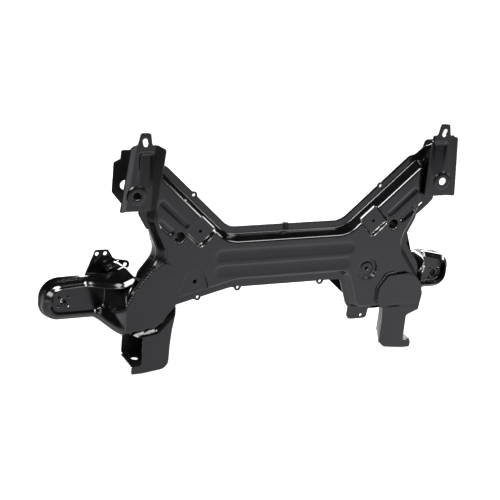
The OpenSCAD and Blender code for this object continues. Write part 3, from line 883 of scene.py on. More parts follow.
@dataclass
class Pan:
    """One pressing of the box: a flat face, a bend, a drafted wall, a fillet and the seam flange.

    Attributes:
        name: Name of the piece.
        depth: Height from the face to the seam.
        spread: How far the wall leans out.
        inset: Growth of the face's outline from the shared one, below 0 where it lies inside.
        face_y: Where the face is.
        sense: 1 where the wall goes to +Y, -1 where it comes back.
        stand: How far the left side of the face moves out, so that its wall stands straight.
        steps: Steps in the edge of the face.
        tilts: Tilts of the forms in the face.
        pitch: Spacing of the points along the edges.
        sheet: Sheet thickness.
        bend: Radius of the bend from face to wall.
        foot: Radius of the fillet from wall to flange.
    """

    name: str
    depth: float
    spread: float
    inset: float
    face_y: float
    sense: float
    stand: float = 0.0
    steps: list[Step] = field(default_factory=list)
    tilts: list[Tilt] = field(default_factory=list)
    pitch: float = 2.5
    sheet: float = 2.5
    bend: float = 6.0
    foot: float = 2.0

    def profile(self) -> np.ndarray:
        """Rows of (grow, depth) from the face to the start of the flange.

        Formula: a quarter turn cut short where its slope meets the wall, the straight wall, then a fillet
        of the opposite sense that ends flat.

        Returns:
            Rows as an (n, 2) array.
        """
        run, drop = self.spread, self.depth - self.sheet
        slope = math.atan2(drop, run + self.bend * 0.4)
        turn = np.linspace(0, slope, 9)
        arc = np.stack([self.inset - self.bend * (1 - np.sin(turn)), self.bend * (1 - np.cos(turn))], 1)
        back = np.linspace(slope, 0, 7)
        low = drop - self.foot * (1 - math.cos(slope))
        reach = arc[-1, 0] + (low - arc[-1, 1]) / math.tan(slope)
        end = np.array([reach + self.foot * math.sin(slope), drop])
        fillet = end - np.stack([self.foot * np.sin(back), self.foot * (1 - np.cos(back))], 1)
        wall = arc[-1] + (fillet[0] - arc[-1]) * np.linspace(0, 1, 5)[1:-1, None]
        return np.concatenate([arc, wall, fillet])

    def ring(self, grow: float) -> np.ndarray:
        """Outline at a growth, with the left side moved out to its straight wall.

        Args:
            grow: Growth of the outline.

        Returns:
            The loop.
        """
        rows = FACE_ROWS.copy()
        rows[:, 3] = 0.0
        seam = self.inset + self.stand
        rows[FLANK_EDGES, 3] = np.clip(seam - grow, 0.0, self.stand)
        return outline(rows, grow, 1.0, pitch=self.pitch)

    def place(self, plan: np.ndarray, depth: np.ndarray) -> np.ndarray:
        """Points (n, 3) of plan points at a depth below the face.

        Formula: a step and the wall join by the fourth root of the sum of their fourth powers, and two slow
        waves give the unevenness of a real pressing.

        Args:
            plan: Plan points.
            depth: Depth of each below the face.

        Returns:
            The points.
        """
        x, z = plan[..., 0], plan[..., 1]
        for step in self.steps:
            depth = (np.maximum(depth, 0.0) ** 4 + step.drop(plan) ** 4) ** 0.25
        slow = 0.35 * np.sin(x / 83.0 + 0.7) * np.sin(z / 61.0 + 1.9)
        quick = 0.18 * np.sin(x / 31.0) * np.cos(z / 37.0)
        wave = slow + quick
        return np.stack([x, self.face_y + self.sense * (depth + wave), z], -1)

    def build(self, reliefs: list[Relief], bumps: list[Shape], cuts: list[np.ndarray]) -> bpy.types.Object:
        """The pressing.

        Args:
            reliefs: Forms and holes of the face.
            bumps: Shapes that widen the flange, each the distance of points from it.
            cuts: Holes and notches in the flange.

        Returns:
            The object with its sheet thickness.
        """
        made = Mesh()
        rows = self.profile()
        rings = np.stack([self.ring(grow) for grow, _ in rows])
        made.add_grid(self._turned(self.place(rings, np.broadcast_to(rows[:, 1:2], rings.shape[:2]))))
        boxes = [step.box for step in self.steps]
        plan, height, faces = Sheet(rings[0], reliefs, fine=boxes).fill()
        for tilt in self.tilts:
            height = height * tilt.share(plan)
        made.add(self.place(plan, height), self._order(faces))
        edge = pushed(outline(FACE_ROWS, self.inset + self.spread, 1.0, pitch=self.pitch), bumps)
        holes = [Relief([loop], [0.0], True) for loop in cuts]
        plan, _, faces = Sheet(edge, holes, [rings[-1]], 5.0).fill()
        made.add(self.place(plan, np.full(len(plan), rows[-1, 1])), self._order(faces))
        return thicken(made.object(self.name), self.sheet)

    def _turned(self, rings: np.ndarray) -> np.ndarray:
        """Rings in the order that makes the faces point outwards."""
        return rings[::-1] if self.sense > 0 else rings

    def _order(self, faces: np.ndarray) -> np.ndarray:
        """Triangles in the order that makes them point outwards."""
        return faces if self.sense > 0 else faces[:, ::-1]


def pushed(loop: np.ndarray, bumps: list[Shape]) -> np.ndarray:
    """A flange edge pushed out along its normals to the far side of the shapes that it runs into.

    Formula: from each point a row of probes goes out along the normal, and the point moves to the last probe
    before the first one that is outside every shape.

    Args:
        loop: The edge, anticlockwise.
        bumps: Shapes, each giving the distance of points from it, negative inside.

    Returns:
        The widened edge.
    """
    if not bumps:
        return loop
    along = np.roll(loop, -1, 0) - np.roll(loop, 1, 0)
    along /= np.linalg.norm(along, axis=1)[:, None]
    normal = np.stack([along[:, 1], -along[:, 0]], 1)
    reach = np.arange(0.0, PUSH_REACH, PUSH_STEP)
    probe = loop[:, None] + normal[:, None] * reach[:, None]
    within = np.min([bump(probe) for bump in bumps], axis=0) <= 0
    first_out = np.where(within.all(1), len(reach) - 1, np.argmin(within, axis=1))
    return loop + normal * reach[np.maximum(0, first_out - 1)][:, None]


def round_bump(x: float, z: float, radius: float) -> Shape:
    """Distance from a disc."""
    return lambda p: np.hypot(p[..., 0] - x, p[..., 1] - z) - radius


def box_bump(x: float, z: float, half: tuple[float, float], radius: float) -> Shape:
    """Distance from a rectangle with rounded corners.

    Args:
        x: Middle of the rectangle, across.
        z: Middle of the rectangle, up.
        half: Half its width and height.
        radius: Radius of its corners.

    Returns:
        The distance as a function of points.
    """

    def distance(p: np.ndarray) -> np.ndarray:
        """Length of the part outside the inner box, less the radius."""
        gap = np.abs(p - np.array([x, z])) - np.array(half) + radius
        return np.linalg.norm(np.maximum(gap, 0), axis=-1) + np.minimum(gap.max(-1), 0) - radius

    return distance


def corner_bump(corners: Sequence[Sequence[float]], soft: float = 0.0) -> Shape:
    """Distance from a convex plate.

    Formula: the largest of the distances from the plate's edges, or a soft largest (the logarithm of the sum
    of exponentials) where the corners are rounded.

    Args:
        corners: Corners of the plate, anticlockwise.
        soft: Softness of the corners, in mm.

    Returns:
        The distance as a function of points.
    """
    points = np.array(corners, float)
    along = np.roll(points, -1, 0) - points
    along /= np.linalg.norm(along, axis=1)[:, None]
    normal = np.stack([along[:, 1], -along[:, 0]], 1)

    def distance(p: np.ndarray) -> np.ndarray:
        """The largest or soft largest distance from the edges."""
        edges = ((p[..., None, :] - points) * normal).sum(-1)
        return soft * np.logaddexp.reduce(edges / soft, axis=-1) if soft > 0 else edges.max(-1)

    return distance


def sided(corners: Sequence[Sequence[float]], side: Side) -> list[tuple[float, float]]:
    """Corners of the right half for a side, kept anticlockwise.

    Args:
        corners: Corners on the right.
        side: The side that they are for.

    Returns:
        The corners, mirrored for the left.
    """
    if side is Side.RIGHT:
        return [(x, z) for x, z in corners]
    return [(-x, z) for x, z in reversed(corners)]


@dataclass
class Box:
    """The main box of the subframe: the lower pressing to the front and the upper one behind it.

    Attributes:
        seam: Depth of the seam behind the lower face.
        rear: Depth of the upper face.
        front_lean: How far the lower pressing's wall leans out.
        rear_lean: How far the upper pressing's wall leans out.
        rear_inset: Growth of the upper face from the shared outline.
        rear_stand: How far the upper face's left side moves out to a straight wall.
        tab_radius: Radius of the hole tabs on the seam.
        tab_bore: Radius of the holes in the tabs and the ear.
        tip_bore: Radius of the holes in the arm tips.
        notch: Radius of the notches in the upper flange behind the tabs.
        bead: Depth of the beads.
        bead_width: Width of the cross beads, in the middle of their walls.
        bead_corner: Radius of their corners.
        bead_wall: Width of their walls.
        arm_bead_width: Width of the beads on the arms.
        arm_bead_corner: Radius of their corners.
        arm_bead_wall: Width of their walls.
        bead_reach: How far the tilt of a cross bead reaches up and down from its middle.
        bead_half: Half the length over which a cross bead is tilted.
        rack: Rack bolt hole on the right.
        pad: Hole in the open pad on the right.
        pad_half: Half the pad's width.
        pad_in: How far the pad reaches in from its hole.
        pad_out: How far it reaches out over the edge.
        pad_turn: Turn of the pad.
        pad_depth: Depth of the pad.
        pad_wall: Width of the pad's wall.
        pad_soft: Softness of the pad's corners.
        pad_box: How far the box round a pad goes from its hole.
        arch_depth: Depth of the arched step.
        arch_wall: Width of the arched step's wall.
        arch_soft: Softness of the arched step's corners.
    """

    seam: float = 25.5
    rear: float = 62.0
    front_lean: float = 8.0
    rear_lean: float = 24.0
    rear_inset: float = -16.0
    rear_stand: float = 25.5
    tab_radius: float = 8.0
    tab_bore: float = 3.0
    tip_bore: float = 2.0
    notch: float = 6.0
    bead: float = 3.2
    bead_width: float = 26.0
    bead_corner: float = 12.0
    bead_wall: float = 11.0
    arm_bead_width: float = 12.0
    arm_bead_corner: float = 5.8
    arm_bead_wall: float = 7.0
    bead_reach: float = 16.0
    bead_half: float = 175.0
    rack: tuple[float, float] = (248.0, 294.0)
    pad: tuple[float, float] = (201.0, 302.0)
    pad_half: float = 23.0
    pad_in: float = 23.0
    pad_out: float = 40.0
    pad_turn: float = math.radians(43)
    pad_depth: float = 8.0
    pad_wall: float = 5.2
    pad_soft: float = 2.5
    pad_box: float = 44.0
    arch_depth: float = 6.0
    arch_wall: float = 4.0
    arch_soft: float = 5.0

    def steps(self) -> list[Step]:
        """The open pads at the roots of the arms and the arched step in the lower edge.

        Returns:
            The steps of the lower pressing.
        """
        along = [math.cos(self.pad_turn), math.sin(self.pad_turn)]
        turn = np.array([along, [-along[1], along[0]]])
        local = [
            [-self.pad_half, -self.pad_in], [self.pad_half, -self.pad_in],
            [self.pad_half, self.pad_out], [-self.pad_half, self.pad_out],
        ]
        corners = (np.array(local) @ turn + np.array(self.pad)).tolist()
        made = []
        for side in Side:
            middle = np.array([side.value * self.pad[0], self.pad[1]])
            box = np.array([middle - self.pad_box, middle + self.pad_box])
            shape = corner_bump(sided(corners, side), self.pad_soft)
            made.append(Step(shape, self.pad_depth, self.pad_wall, box))
        arch = corner_bump(ARCH_CORNERS, self.arch_soft)
        return made + [Step(arch, self.arch_depth, self.arch_wall, ARCH_BOX)]

    def tilts(self) -> list[Tilt]:
        """Tilts of the beads, which run out at their lower edges.

        Returns:
            One tilt for each cross bead and for the long bead of each arm.
        """
        made = []
        for (left, z), (right, _) in CROSS_BEADS:
            x = (left + right) / 2
            made.append(Tilt((x, z - self.bead_reach), (x, z + self.bead_reach), self.bead_half))
        for side in Side:
            low, high = [(side.value * x, z) for x, z in ARM_TILT]
            made.append(Tilt(low, high, ARM_TILT_HALF))
        return made

    def reliefs(self) -> list[Relief]:
        """Beads, cup and bolt holes of the lower face.

        Returns:
            The reliefs, with holes after the forms that they lie in.
        """
        made = [
            Relief.pressed(stadium(*ends, self.bead_width, self.bead_corner), self.bead_wall, self.bead)
            for ends in CROSS_BEADS
        ]
        for side in Side:
            s = side.value
            for ends in ARM_BEADS:
                ends = [(s * x, z) for x, z in ends]
                rows = stadium(*ends, self.arm_bead_width, self.arm_bead_corner)
                made.append(Relief.pressed(rows, self.arm_bead_wall, self.bead))
            pad, rack = (s * self.pad[0], self.pad[1]), (s * self.rack[0], self.rack[1])
            made.append(Relief.turned(pad, [(4.6, 0), (4.0, 0.1), (3.5, 0.6)]))
            made.append(Relief.turned(rack, [(14, 0), (12.4, 0.15), (11.5, 0.7), (11.05, 1.7)]))
        made.append(Relief.turned(CUP, CUP_PROFILE))
        made.append(Relief.turned(ARCH_HOLE, [(6.0, 0), (5.2, 0.1), (4.5, 0.7)]))
        return made

    def bumps(self) -> list[Shape]:
        """Tabs, ear, arm tips and arm feet that widen the lower seam flange.

        Returns:
            The shapes, each the distance of points from it.
        """
        made = [round_bump(x, z, self.tab_radius) for x, z in SEAM_TABS]
        made.append(box_bump(*EAR, EAR_HALF, EAR_CORNER))
        for side in Side:
            made += [corner_bump(sided(tip, side)) for tip in ARM_TIPS]
        made.append(corner_bump(RIGHT_FOOT))
        made.append(corner_bump(sided(LEFT_FOOT, Side.LEFT)))
        return made

    def build(self, dresser: Dresser) -> None:
        """Builds both pressings.

        Args:
            dresser: Finishes the pieces.
        """
        self.build_lower(dresser)
        self.build_upper(dresser)

    def build_lower(self, dresser: Dresser) -> None:
        """Builds the lower pressing, with the bores of its tabs, ear, arm tips and foot.

        Args:
            dresser: Finishes the piece.
        """
        bores = [circle(spot, self.tab_bore, 20) for spot in [*SEAM_TABS, EAR_HOLE]]
        bores += [circle((side.value * x, z), self.tip_bore, 16) for side in Side for x, z in TIP_HOLES]
        bores.append(outline(stadium(*FOOT_SLOT, 4.0, 1.9), pitch=2.0))
        pan = Pan(
            "lower_pressing", self.seam, self.front_lean, 0.0, 0.0, 1.0,
            steps=self.steps(), tilts=self.tilts(),
        )
        lower = pan.build(self.reliefs(), self.bumps(), bores)
        dresser.dress(lower, FRAME_PAINT, Slot.FRAME_PAINT, "front_pan")

    def build_upper(self, dresser: Dresser) -> None:
        """Builds the upper pressing, whose flange has notches behind the holes of the lower one.

        Args:
            dresser: Finishes the piece.
        """
        pan = Pan(
            "upper_pressing", self.rear - self.seam, self.rear_lean, self.rear_inset, self.rear, -1.0,
            self.rear_stand, pitch=4.0,
        )
        profile = [(13, 0), (11.6, 0.4), (11.05, 1.4)]
        drilled = [Relief.turned((side.value * self.rack[0], self.rack[1]), profile) for side in Side]
        notches = [circle(tab, self.notch, 24) for tab in SEAM_TABS]
        notches.append(outline(stadium(*FOOT_SLOT, 6.0, 2.8), pitch=2.0))
        upper = pan.build(drilled, [], notches)
        dresser.dress(upper, FRAME_PAINT, Slot.FRAME_PAINT, "rear_pan")


@dataclass
class EndBracket:
    """Channel at the end of an arm: web with pocket and bolt ring, two lips, slotted tab, return plate.

    Attributes:
        side: Side of the part.
        inner: Where the inner fold line is.
        foot: Lower end of the web.
        head: Upper end of the web.
        foot_width: Width of the web at its foot.
        head_width: Width of the web at its head.
        inner_lip: Depth of the inner lip.
        outer_lip: Depth of the outer lip.
        inner_fold: Fold angle of the inner lip.
        outer_fold: Fold angle of the outer lip.
        web_y: Depth of the web.
        pocket: Depth of the pocket.
        pocket_wall: Width of the pocket's wall.
        fade_from: Where the pocket starts to sink.
        fade_run: Height over which it reaches its depth.
        bolt: Centre of the bolt ring.
        tab_top: Upper end of the slotted tab.
        back_reach: How far the return plate goes back.
        back_top: Upper end of the return plate.
        sheet: Sheet thickness.
        bend: Radius of the folds.
    """

    side: Side
    inner: float = 316.0
    foot: float = 356.0
    head: float = 491.0
    foot_width: float = 54.0
    head_width: float = 41.0
    inner_lip: float = 21.0
    outer_lip: float = 15.0
    inner_fold: float = math.radians(53)
    outer_fold: float = math.radians(23)
    web_y: float = -5.0
    pocket: float = 5.5
    pocket_wall: float = 7.0
    fade_from: float = 404.0
    fade_run: float = 66.0
    bolt: tuple[float, float] = (350.0, 389.0)
    tab_top: float = 516.0
    back_reach: float = 62.0
    back_top: float = 436.0
    sheet: float = 3.0
    bend: float = 4.0

    def width(self, z: np.ndarray) -> np.ndarray:
        """Width of the web at a height, narrower towards the head."""
        rise = np.clip((z - self.foot) / (self.head - self.foot), 0, 1)
        return self.foot_width + (self.head_width - self.foot_width) * rise

    def lip(self, beyond: np.ndarray, fold: float) -> tuple[np.ndarray, np.ndarray]:
        """How far a lip goes out and forward at a distance beyond its fold line.

        Formula: an arc of the bend radius through the fold angle, tangent to the web, then a straight run.

        Args:
            beyond: Distance beyond the fold line, measured on the sheet.
            fold: Fold angle.

        Returns:
            Way out from the fold line and way forward.
        """
        start = self.bend * math.tan(fold / 2)
        run = np.maximum(0, beyond + start)
        angle = np.minimum(run / self.bend, fold)
        straight = np.maximum(0, run - self.bend * fold)
        out = self.bend * np.sin(angle) + straight * math.cos(fold) - start
        rise = self.bend * (1 - np.cos(angle)) + straight * math.sin(fold)
        return out, rise

    def folded(self, blank: np.ndarray, height: np.ndarray) -> np.ndarray:
        """Points of the flat blank folded to the channel.

        Args:
            blank: Points of the blank, x from the inner fold line.
            height: Their heights. The pocket fades out towards its lower end.

        Returns:
            Points (n, 3) of the right bracket.
        """
        across, z = blank[:, 0], blank[:, 1]
        width = self.width(z)
        inner_out, inner_rise = self.lip(-across, self.inner_fold)
        outer_out, outer_rise = self.lip(across - width, self.outer_fold)
        on_inner, on_outer = inner_rise > 0, outer_rise > 0
        x = np.where(on_inner, -inner_out, np.where(on_outer, width + outer_out, across))
        fade = np.where(height > 0, np.clip((z - self.fade_from) / self.fade_run, 0, 1), 1.0)
        return np.stack([self.inner + x, self.web_y - inner_rise - outer_rise + height * fade, z], 1)

    def build(self, dresser: Dresser) -> None:
        """Builds the channel and its return plate.

        Args:
            dresser: Finishes the pieces.
        """
        foot_out, head_out = self.foot_width + self.outer_lip, self.head_width + self.outer_lip
        rim = outline(np.array([
            [-self.inner_lip / 2, self.foot, 3, 0], [foot_out, self.foot, 4, 0],
            [head_out, self.head - 4, 4, 0], [head_out - 9, self.head, 2, 0], [39, self.head, 5, 0],
            [34, self.tab_top, 5, 0], [14, self.tab_top, 5, 0], [9, self.head, 5, 0], [0, self.head, 3, 0],
            [-self.inner_lip, self.head - 5, 4, 0],
        ], float), pitch=3.0)
        shift = np.array([self.inner, 0.0])
        reliefs = [
            Relief([loop - shift for loop in form.loops], form.heights, form.hole)
            for form in (self.bolt_ring(), self.tab_slot())
        ]
        plan, height, faces = Sheet(rim, reliefs, grid=2.5).fill()
        pocket = corner_bump([(5, 402), (33, 402), (33, 475), (5, 475)], soft=2.0)
        sunk = self.pocket * ease(0.5 - pocket(plan) / self.pocket_wall)
        height = np.where(height == 0, sunk, height)
        made = Mesh()
        made.add(self.folded(plan, height), faces)
        if self.side is Side.LEFT:
            made.mirror()
        word = self.side.word
        channel = thicken(made.object(f"{word}_end_channel"), self.sheet, 0.6)
        dresser.dress(channel, FRAME_PAINT, Slot.FRAME_PAINT, f"{word}_end_bracket")
        self.build_return(dresser)

    def bolt_ring(self) -> Relief:
        """The raised ring round the bolt hole."""
        return Relief.turned(self.bolt, [
            (20.8, 0), (20.3, -0.4), (19.9, -1.5), (19.5, -2.6), (18.8, -3.0),
            (10.5, -3.0), (9, -2.8), (8, -2.0),
        ])

    def tab_slot(self) -> Relief:
        """The slot in the tab, with a broken edge."""
        rows = stadium((339, 493.5), (341, 500.5), 10, 4.8)
        return Relief([outline(rows, grow, pitch=2.0) for grow in (1.0, 0.0)], [0.0, 0.3], True)

    def build_return(self, dresser: Dresser) -> None:
        """Builds the plate that goes back from the channel's inner edge.

        Args:
            dresser: Finishes the piece.
        """
        rows = [
            [-self.sheet, self.foot, 2, 0], [self.back_reach, self.foot, 6, 0],
            [self.back_reach, self.back_top, 12, 0], [-self.sheet, self.back_top, 2, 0],
        ]
        plan, _, faces = Sheet(outline(np.array(rows, float))).fill()
        s = self.side.value
        points = np.stack([np.full(len(plan), s * self.inner), plan[:, 0], plan[:, 1]], 1)
        made = Mesh()
        made.add(points, faces[:, ::-1] if s > 0 else faces)
        plate = thicken(made.object(f"{self.side.word}_bracket_return"), self.sheet, 0.6)
        dresser.dress(plate, FRAME_PAINT, Slot.FRAME_PAINT)


@dataclass
class Pod:
    """Body mount: a dish with a rim that sweeps forward to the wing, and a skirt behind it.

    Attributes:
        side: Side of the part.
        root: Where the dish meets the wing.
        high: Upper edge of the dish.
        root_rise: How far the upper root corner is raised at the rim.
        root_depth: Depth of the right rim at the root.
        horn_from: Share of the way back along the skirt where the raised corner starts to sink.
        horn_run: Share of the way over which it sinks.
        wall_reach: How far the dish's wall goes in from the outline.
        sweep: Length over which the rim sweeps from the wing to the tip.
        floor: Depth of the dish's floor.
        rim_depth: How far the rim stands in front of the floor.
        skirt: Depth of the skirt's end.
        sheet: Sheet thickness.
        bolt: Centre of the body bolt's hole.
        bolt_radius: Radius of that hole.
        seat: Outer and inner radius of the step round the bolt's seat.
        seat_height: Height of the seat.
        drain_radius: Radius of the drain holes.
        drain_ring: Distance of the drain holes from the bolt's hole.
    """

    side: Side
    root: float = 346.0
    high: float = 160.0
    root_rise: float = 28.0
    root_depth: float = 13.5
    horn_from: float = 0.46
    horn_run: float = 0.54
    wall_reach: float = 20.0
    sweep: float = 62.0
    floor: float = 116.0
    rim_depth: float = 18.0
    skirt: float = 140.0
    sheet: float = 2.5
    bolt: tuple[float, float] = (445.0, 122.0)
    bolt_radius: float = 6.5
    seat: tuple[float, float] = (24.0, 21.0)
    seat_height: float = 0.4
    drain_radius: float = 2.5
    drain_ring: float = 14.5

    @property
    def low(self) -> float:
        """Lower edge of the dish, which hangs lower on the left."""
        return 84.0 if self.side is Side.LEFT else 97.0

    @property
    def tip(self) -> float:
        """Outer end of the dish, which goes further on the left."""
        return 483.0 if self.side is Side.LEFT else 470.0

    def rows(self, rise: float) -> np.ndarray:
        """Corner rows of the dish, the left one with a horn up the waist.

        Args:
            rise: How far the upper root corner is raised.

        Returns:
            Rows of (x, z, radius, spread).
        """
        root, tip, low, high = self.root, self.tip, self.low, self.high
        if self.side is Side.RIGHT:
            made = [[root, low, 16, 3], [tip, low, 26, 3], [tip, high, 26, 3], [root, high + rise, 24, 0]]
        else:
            up = rise / self.root_rise
            made = [
                [root, low, 16, 3], [tip, low, 32, 3], [tip, high - 2, 32, 3],
                [tip - 85, high + 4 * up, 60, 3],
                [root - 20, high + 38 * up, 1, 0], [root - 19 * (1 - up), high - 30 + 36 * up, 10, 0],
            ]
        return np.array(made, float)

    def ring(self, grow: float, way: float) -> np.ndarray:
        """Outline of the dish at a growth.

        Formula: behind the rim the outline grows evenly and its flange spreads on the way back. Inside the
        rim each edge moves in by its own share, and the left dish's inner corners get rounder.

        Args:
            grow: Growth, below 0 on the dish's wall.
            way: Share of the way back along the skirt, which loses its horn there.

        Returns:
            The loop.
        """
        back = float(ease(np.array((way - self.horn_from) / self.horn_run)))
        rows = self.rows(self.root_rise * (1 - back))
        left = self.side is Side.LEFT
        parts = (28, 8, 16, 16, 8, 14) if left else (28, 8, 28, 14)
        if grow >= 0:
            return outline(rows, grow, back, steps=14, parts=parts)
        rows[:, 3] = np.array([1.0, 1.0, 0.7, 0.7, 0.3, 0.6]) if left else 0.55
        deep = min(-grow / self.wall_reach, 1.0)
        if left:
            rows[[0, 4, 5], 2] += np.array([18.0, 10.0, 24.0]) * deep
        return outline(rows, 0.0, grow, steps=14, parts=parts)

    def rim_y(self, plan: np.ndarray) -> np.ndarray:
        """Where the rim is: at the wing by the root, and in front of the floor at the tip.

        Formula: an eased run from the root's depth to the floor less the rim's depth. On the left the rim's
        lower edge is nearly level with the floor and the root lies deeper above.

        Args:
            plan: Plan points.

        Returns:
            Depth of the rim at each.
        """
        x, z = plan[..., 0], plan[..., 1]
        near, depth, sweep = self.root_depth, self.rim_depth, self.sweep
        if self.side is Side.LEFT:
            near = 1.0 + 20.0 * ease((z - 140.0) / 40.0)
            depth = self.rim_depth * (0.08 + 0.92 * ease((z - self.low) / 50.0))
            sweep = self.sweep * (0.5 + 0.5 * ease((z - self.low) / 56.0))
        return near + (self.floor - depth - near) * ease((x - self.root) / sweep)

    def section(self) -> np.ndarray:
        """Rows of (inset, sink, roll, skirt share) from the floor's edge over the rim to the skirt's end.

        Formula: a uniform cubic B-spline over the control rows of the wall, the rim and the skirt, with four
        rows to each span.

        Returns:
            The rows as an (n, 4) array.
        """
        wall = [
            [-self.wall_reach, 1.0, 0, 0],
            [-17, 1.0, 0, 0], [-15, 0.95, 0, 0], [-13, 0.8, 0, 0], [-11, 0.5, 0, 0],
            [-9, 0.2, 0, 0], [-7, 0.04, 0, 0],
        ]
        rim = [
            [-5, 0.0, 0.2, 0], [-2, 0.0, 2.6, 0], [1, 0.0, 5.2, 0], [3.5, 0.0, 7.4, 0], [5.4, 0.0, 9.6, 0],
            [6.2, 0.0, 13, 0.01],
        ]
        skirt = [[6.2, 0.0, 16, way] for way in (0.1, 0.3, 0.55, 0.78, 1.0)]
        control = np.array(wall + rim + skirt)
        before, after = 2 * control[:1] - control[1:2], 2 * control[-1:] - control[-2:-1]
        padded = np.concatenate([before, control, after])
        t = np.linspace(0, 1, 5)[:-1, None]
        weights = [(1 - t) ** 3 / 6, (3 * t ** 3 - 6 * t ** 2 + 4) / 6]
        weights += [(-3 * t ** 3 + 3 * t ** 2 + 3 * t + 1) / 6, t ** 3 / 6]
        spans = [sum(w * padded[i + k] for k, w in enumerate(weights)) for i in range(len(padded) - 3)]
        return np.concatenate([*spans, control[-1:]])

    def build(self, dresser: Dresser) -> None:
        """Builds the dish with its floor.

        Args:
            dresser: Finishes the piece.
        """
        rows = self.section()
        plans = np.stack([self.ring(grow, way) for grow, _, _, way in rows])
        rim = self.rim_y(plans)
        sink, roll, way = rows[:, 1:2], rows[:, 2:3], rows[:, 3:4]
        y = rim + (self.floor - rim) * sink + roll * (1 - way) + (self.skirt - rim) * way
        rings = np.stack([plans[..., 0], y, plans[..., 1]], -1)
        made = Mesh()
        plan, height, faces = Sheet(plans[0], self.floor_forms(), grid=4.0).fill()
        floor = np.stack([plan[:, 0], self.floor + height, plan[:, 1]], 1)
        made.add_grid(rings[::-1])
        made.add(floor, faces)
        if self.side is Side.LEFT:
            made.mirror()
        word = self.side.word
        dish = thicken(made.object(f"{word}_mount_dish"), self.sheet, 0.6)
        dresser.dress(dish, FRAME_PAINT, Slot.FRAME_PAINT, f"{word}_pod_dish")

    def floor_forms(self) -> list[Relief]:
        """The seat round the bolt hole, the hole and four drains.

        Returns:
            The reliefs of the dish's floor.
        """
        x, z = self.bolt
        high, bolt, drain, ring = self.seat_height, self.bolt_radius, self.drain_radius, self.drain_ring
        seat = Relief([circle(self.bolt, radius, 48) for radius in self.seat], [0.0, high])
        hole = Relief.turned(self.bolt, [(bolt + 3.5, high), (bolt + 0.9, high + 0.15), (bolt, high + 0.8)])
        angles = np.radians([45, 135, 225, 315])
        spots = [(x + ring * math.cos(a), z + ring * math.sin(a)) for a in angles]
        drains = [Relief.turned(spot, [(drain + 0.4, high), (drain, high + 0.4)]) for spot in spots]
        return [seat, hole, *drains]


@dataclass
class LegBracket:
    """Front strip of a leg with its gusset, foot lip and the crease along the gusset's lower edge.

    Attributes:
        side: Side of the part.
        gusset: Corners of the gusset as (x, z, radius), as on the right.
        above: Corners of a plate whose lower edge is the crease.
        groove: Depth of the crease.
        lean: How far the gusset leans forward.
        strip_in: Inner edge of the strip.
        strip_out: Outer edge of the strip.
        lip_out: Outer end of the foot lip.
        front_y: Depth of the strip's front.
        bow: How far the middle of the strip is bowed out.
        sheet: Sheet thickness.
    """

    side: Side
    gusset: list[tuple[float, float, float]]
    above: list[tuple[float, float]]
    groove: float
    lean: float
    strip_in: float = 251.0
    strip_out: float = 311.0
    lip_out: float = 331.0
    front_y: float = -3.0
    bow: float = 0.9
    sheet: float = 3.0

    def build(self, dresser: Dresser) -> None:
        """Builds the strip and gusset as one plate.

        Args:
            dresser: Finishes the piece.
        """
        strip = [
            (self.strip_in, 8, 20), (self.strip_out, 0, 8), (self.lip_out, 0, 3), (self.lip_out, 15, 4),
            (self.strip_out, 19, 4), (self.strip_out, 78, 6),
        ]
        corners = strip + self.gusset + [(self.strip_in, 60, 1)]
        rows = np.array([[*corner, 0] for corner in corners], float)
        plan, _, faces = Sheet(outline(rows, pitch=3.0), grid=4.0).fill()
        made = Mesh()
        made.add(self.shaped(plan), faces)
        if self.side is Side.LEFT:
            made.mirror()
        word = self.side.word
        plate = thicken(made.object(f"{word}_leg_plate"), self.sheet, 0.6)
        dresser.dress(plate, FRAME_PAINT, Slot.FRAME_PAINT, f"{word}_leg_bracket")

    def shaped(self, plan: np.ndarray) -> np.ndarray:
        """Plan points lifted to the strip's form.

        Formula: the strip is bowed a little across its width, a groove runs along the gusset's lower edge,
        steep where it leaves the gusset and easing out on the strip, and the gusset leans forward towards
        its top.

        Args:
            plan: Points (n, 2) of the right bracket.

        Returns:
            Points (n, 3).
        """
        x, z = plan[:, 0], plan[:, 1]
        below = corner_bump(self.above)(plan)
        across = (x - self.strip_in) / (self.strip_out - self.strip_in)
        bow = self.bow * np.sin(np.clip(across, 0, 1) * np.pi) * ease((below - 16) / 20)
        groove = self.groove * ease(below / 2.5) * (1 - ease((below - 2.5) / (1.6 * self.groove)))
        lean = self.lean * ease((z - 110) / 80)
        return np.stack([x, self.front_y - bow - lean + groove, z], 1)


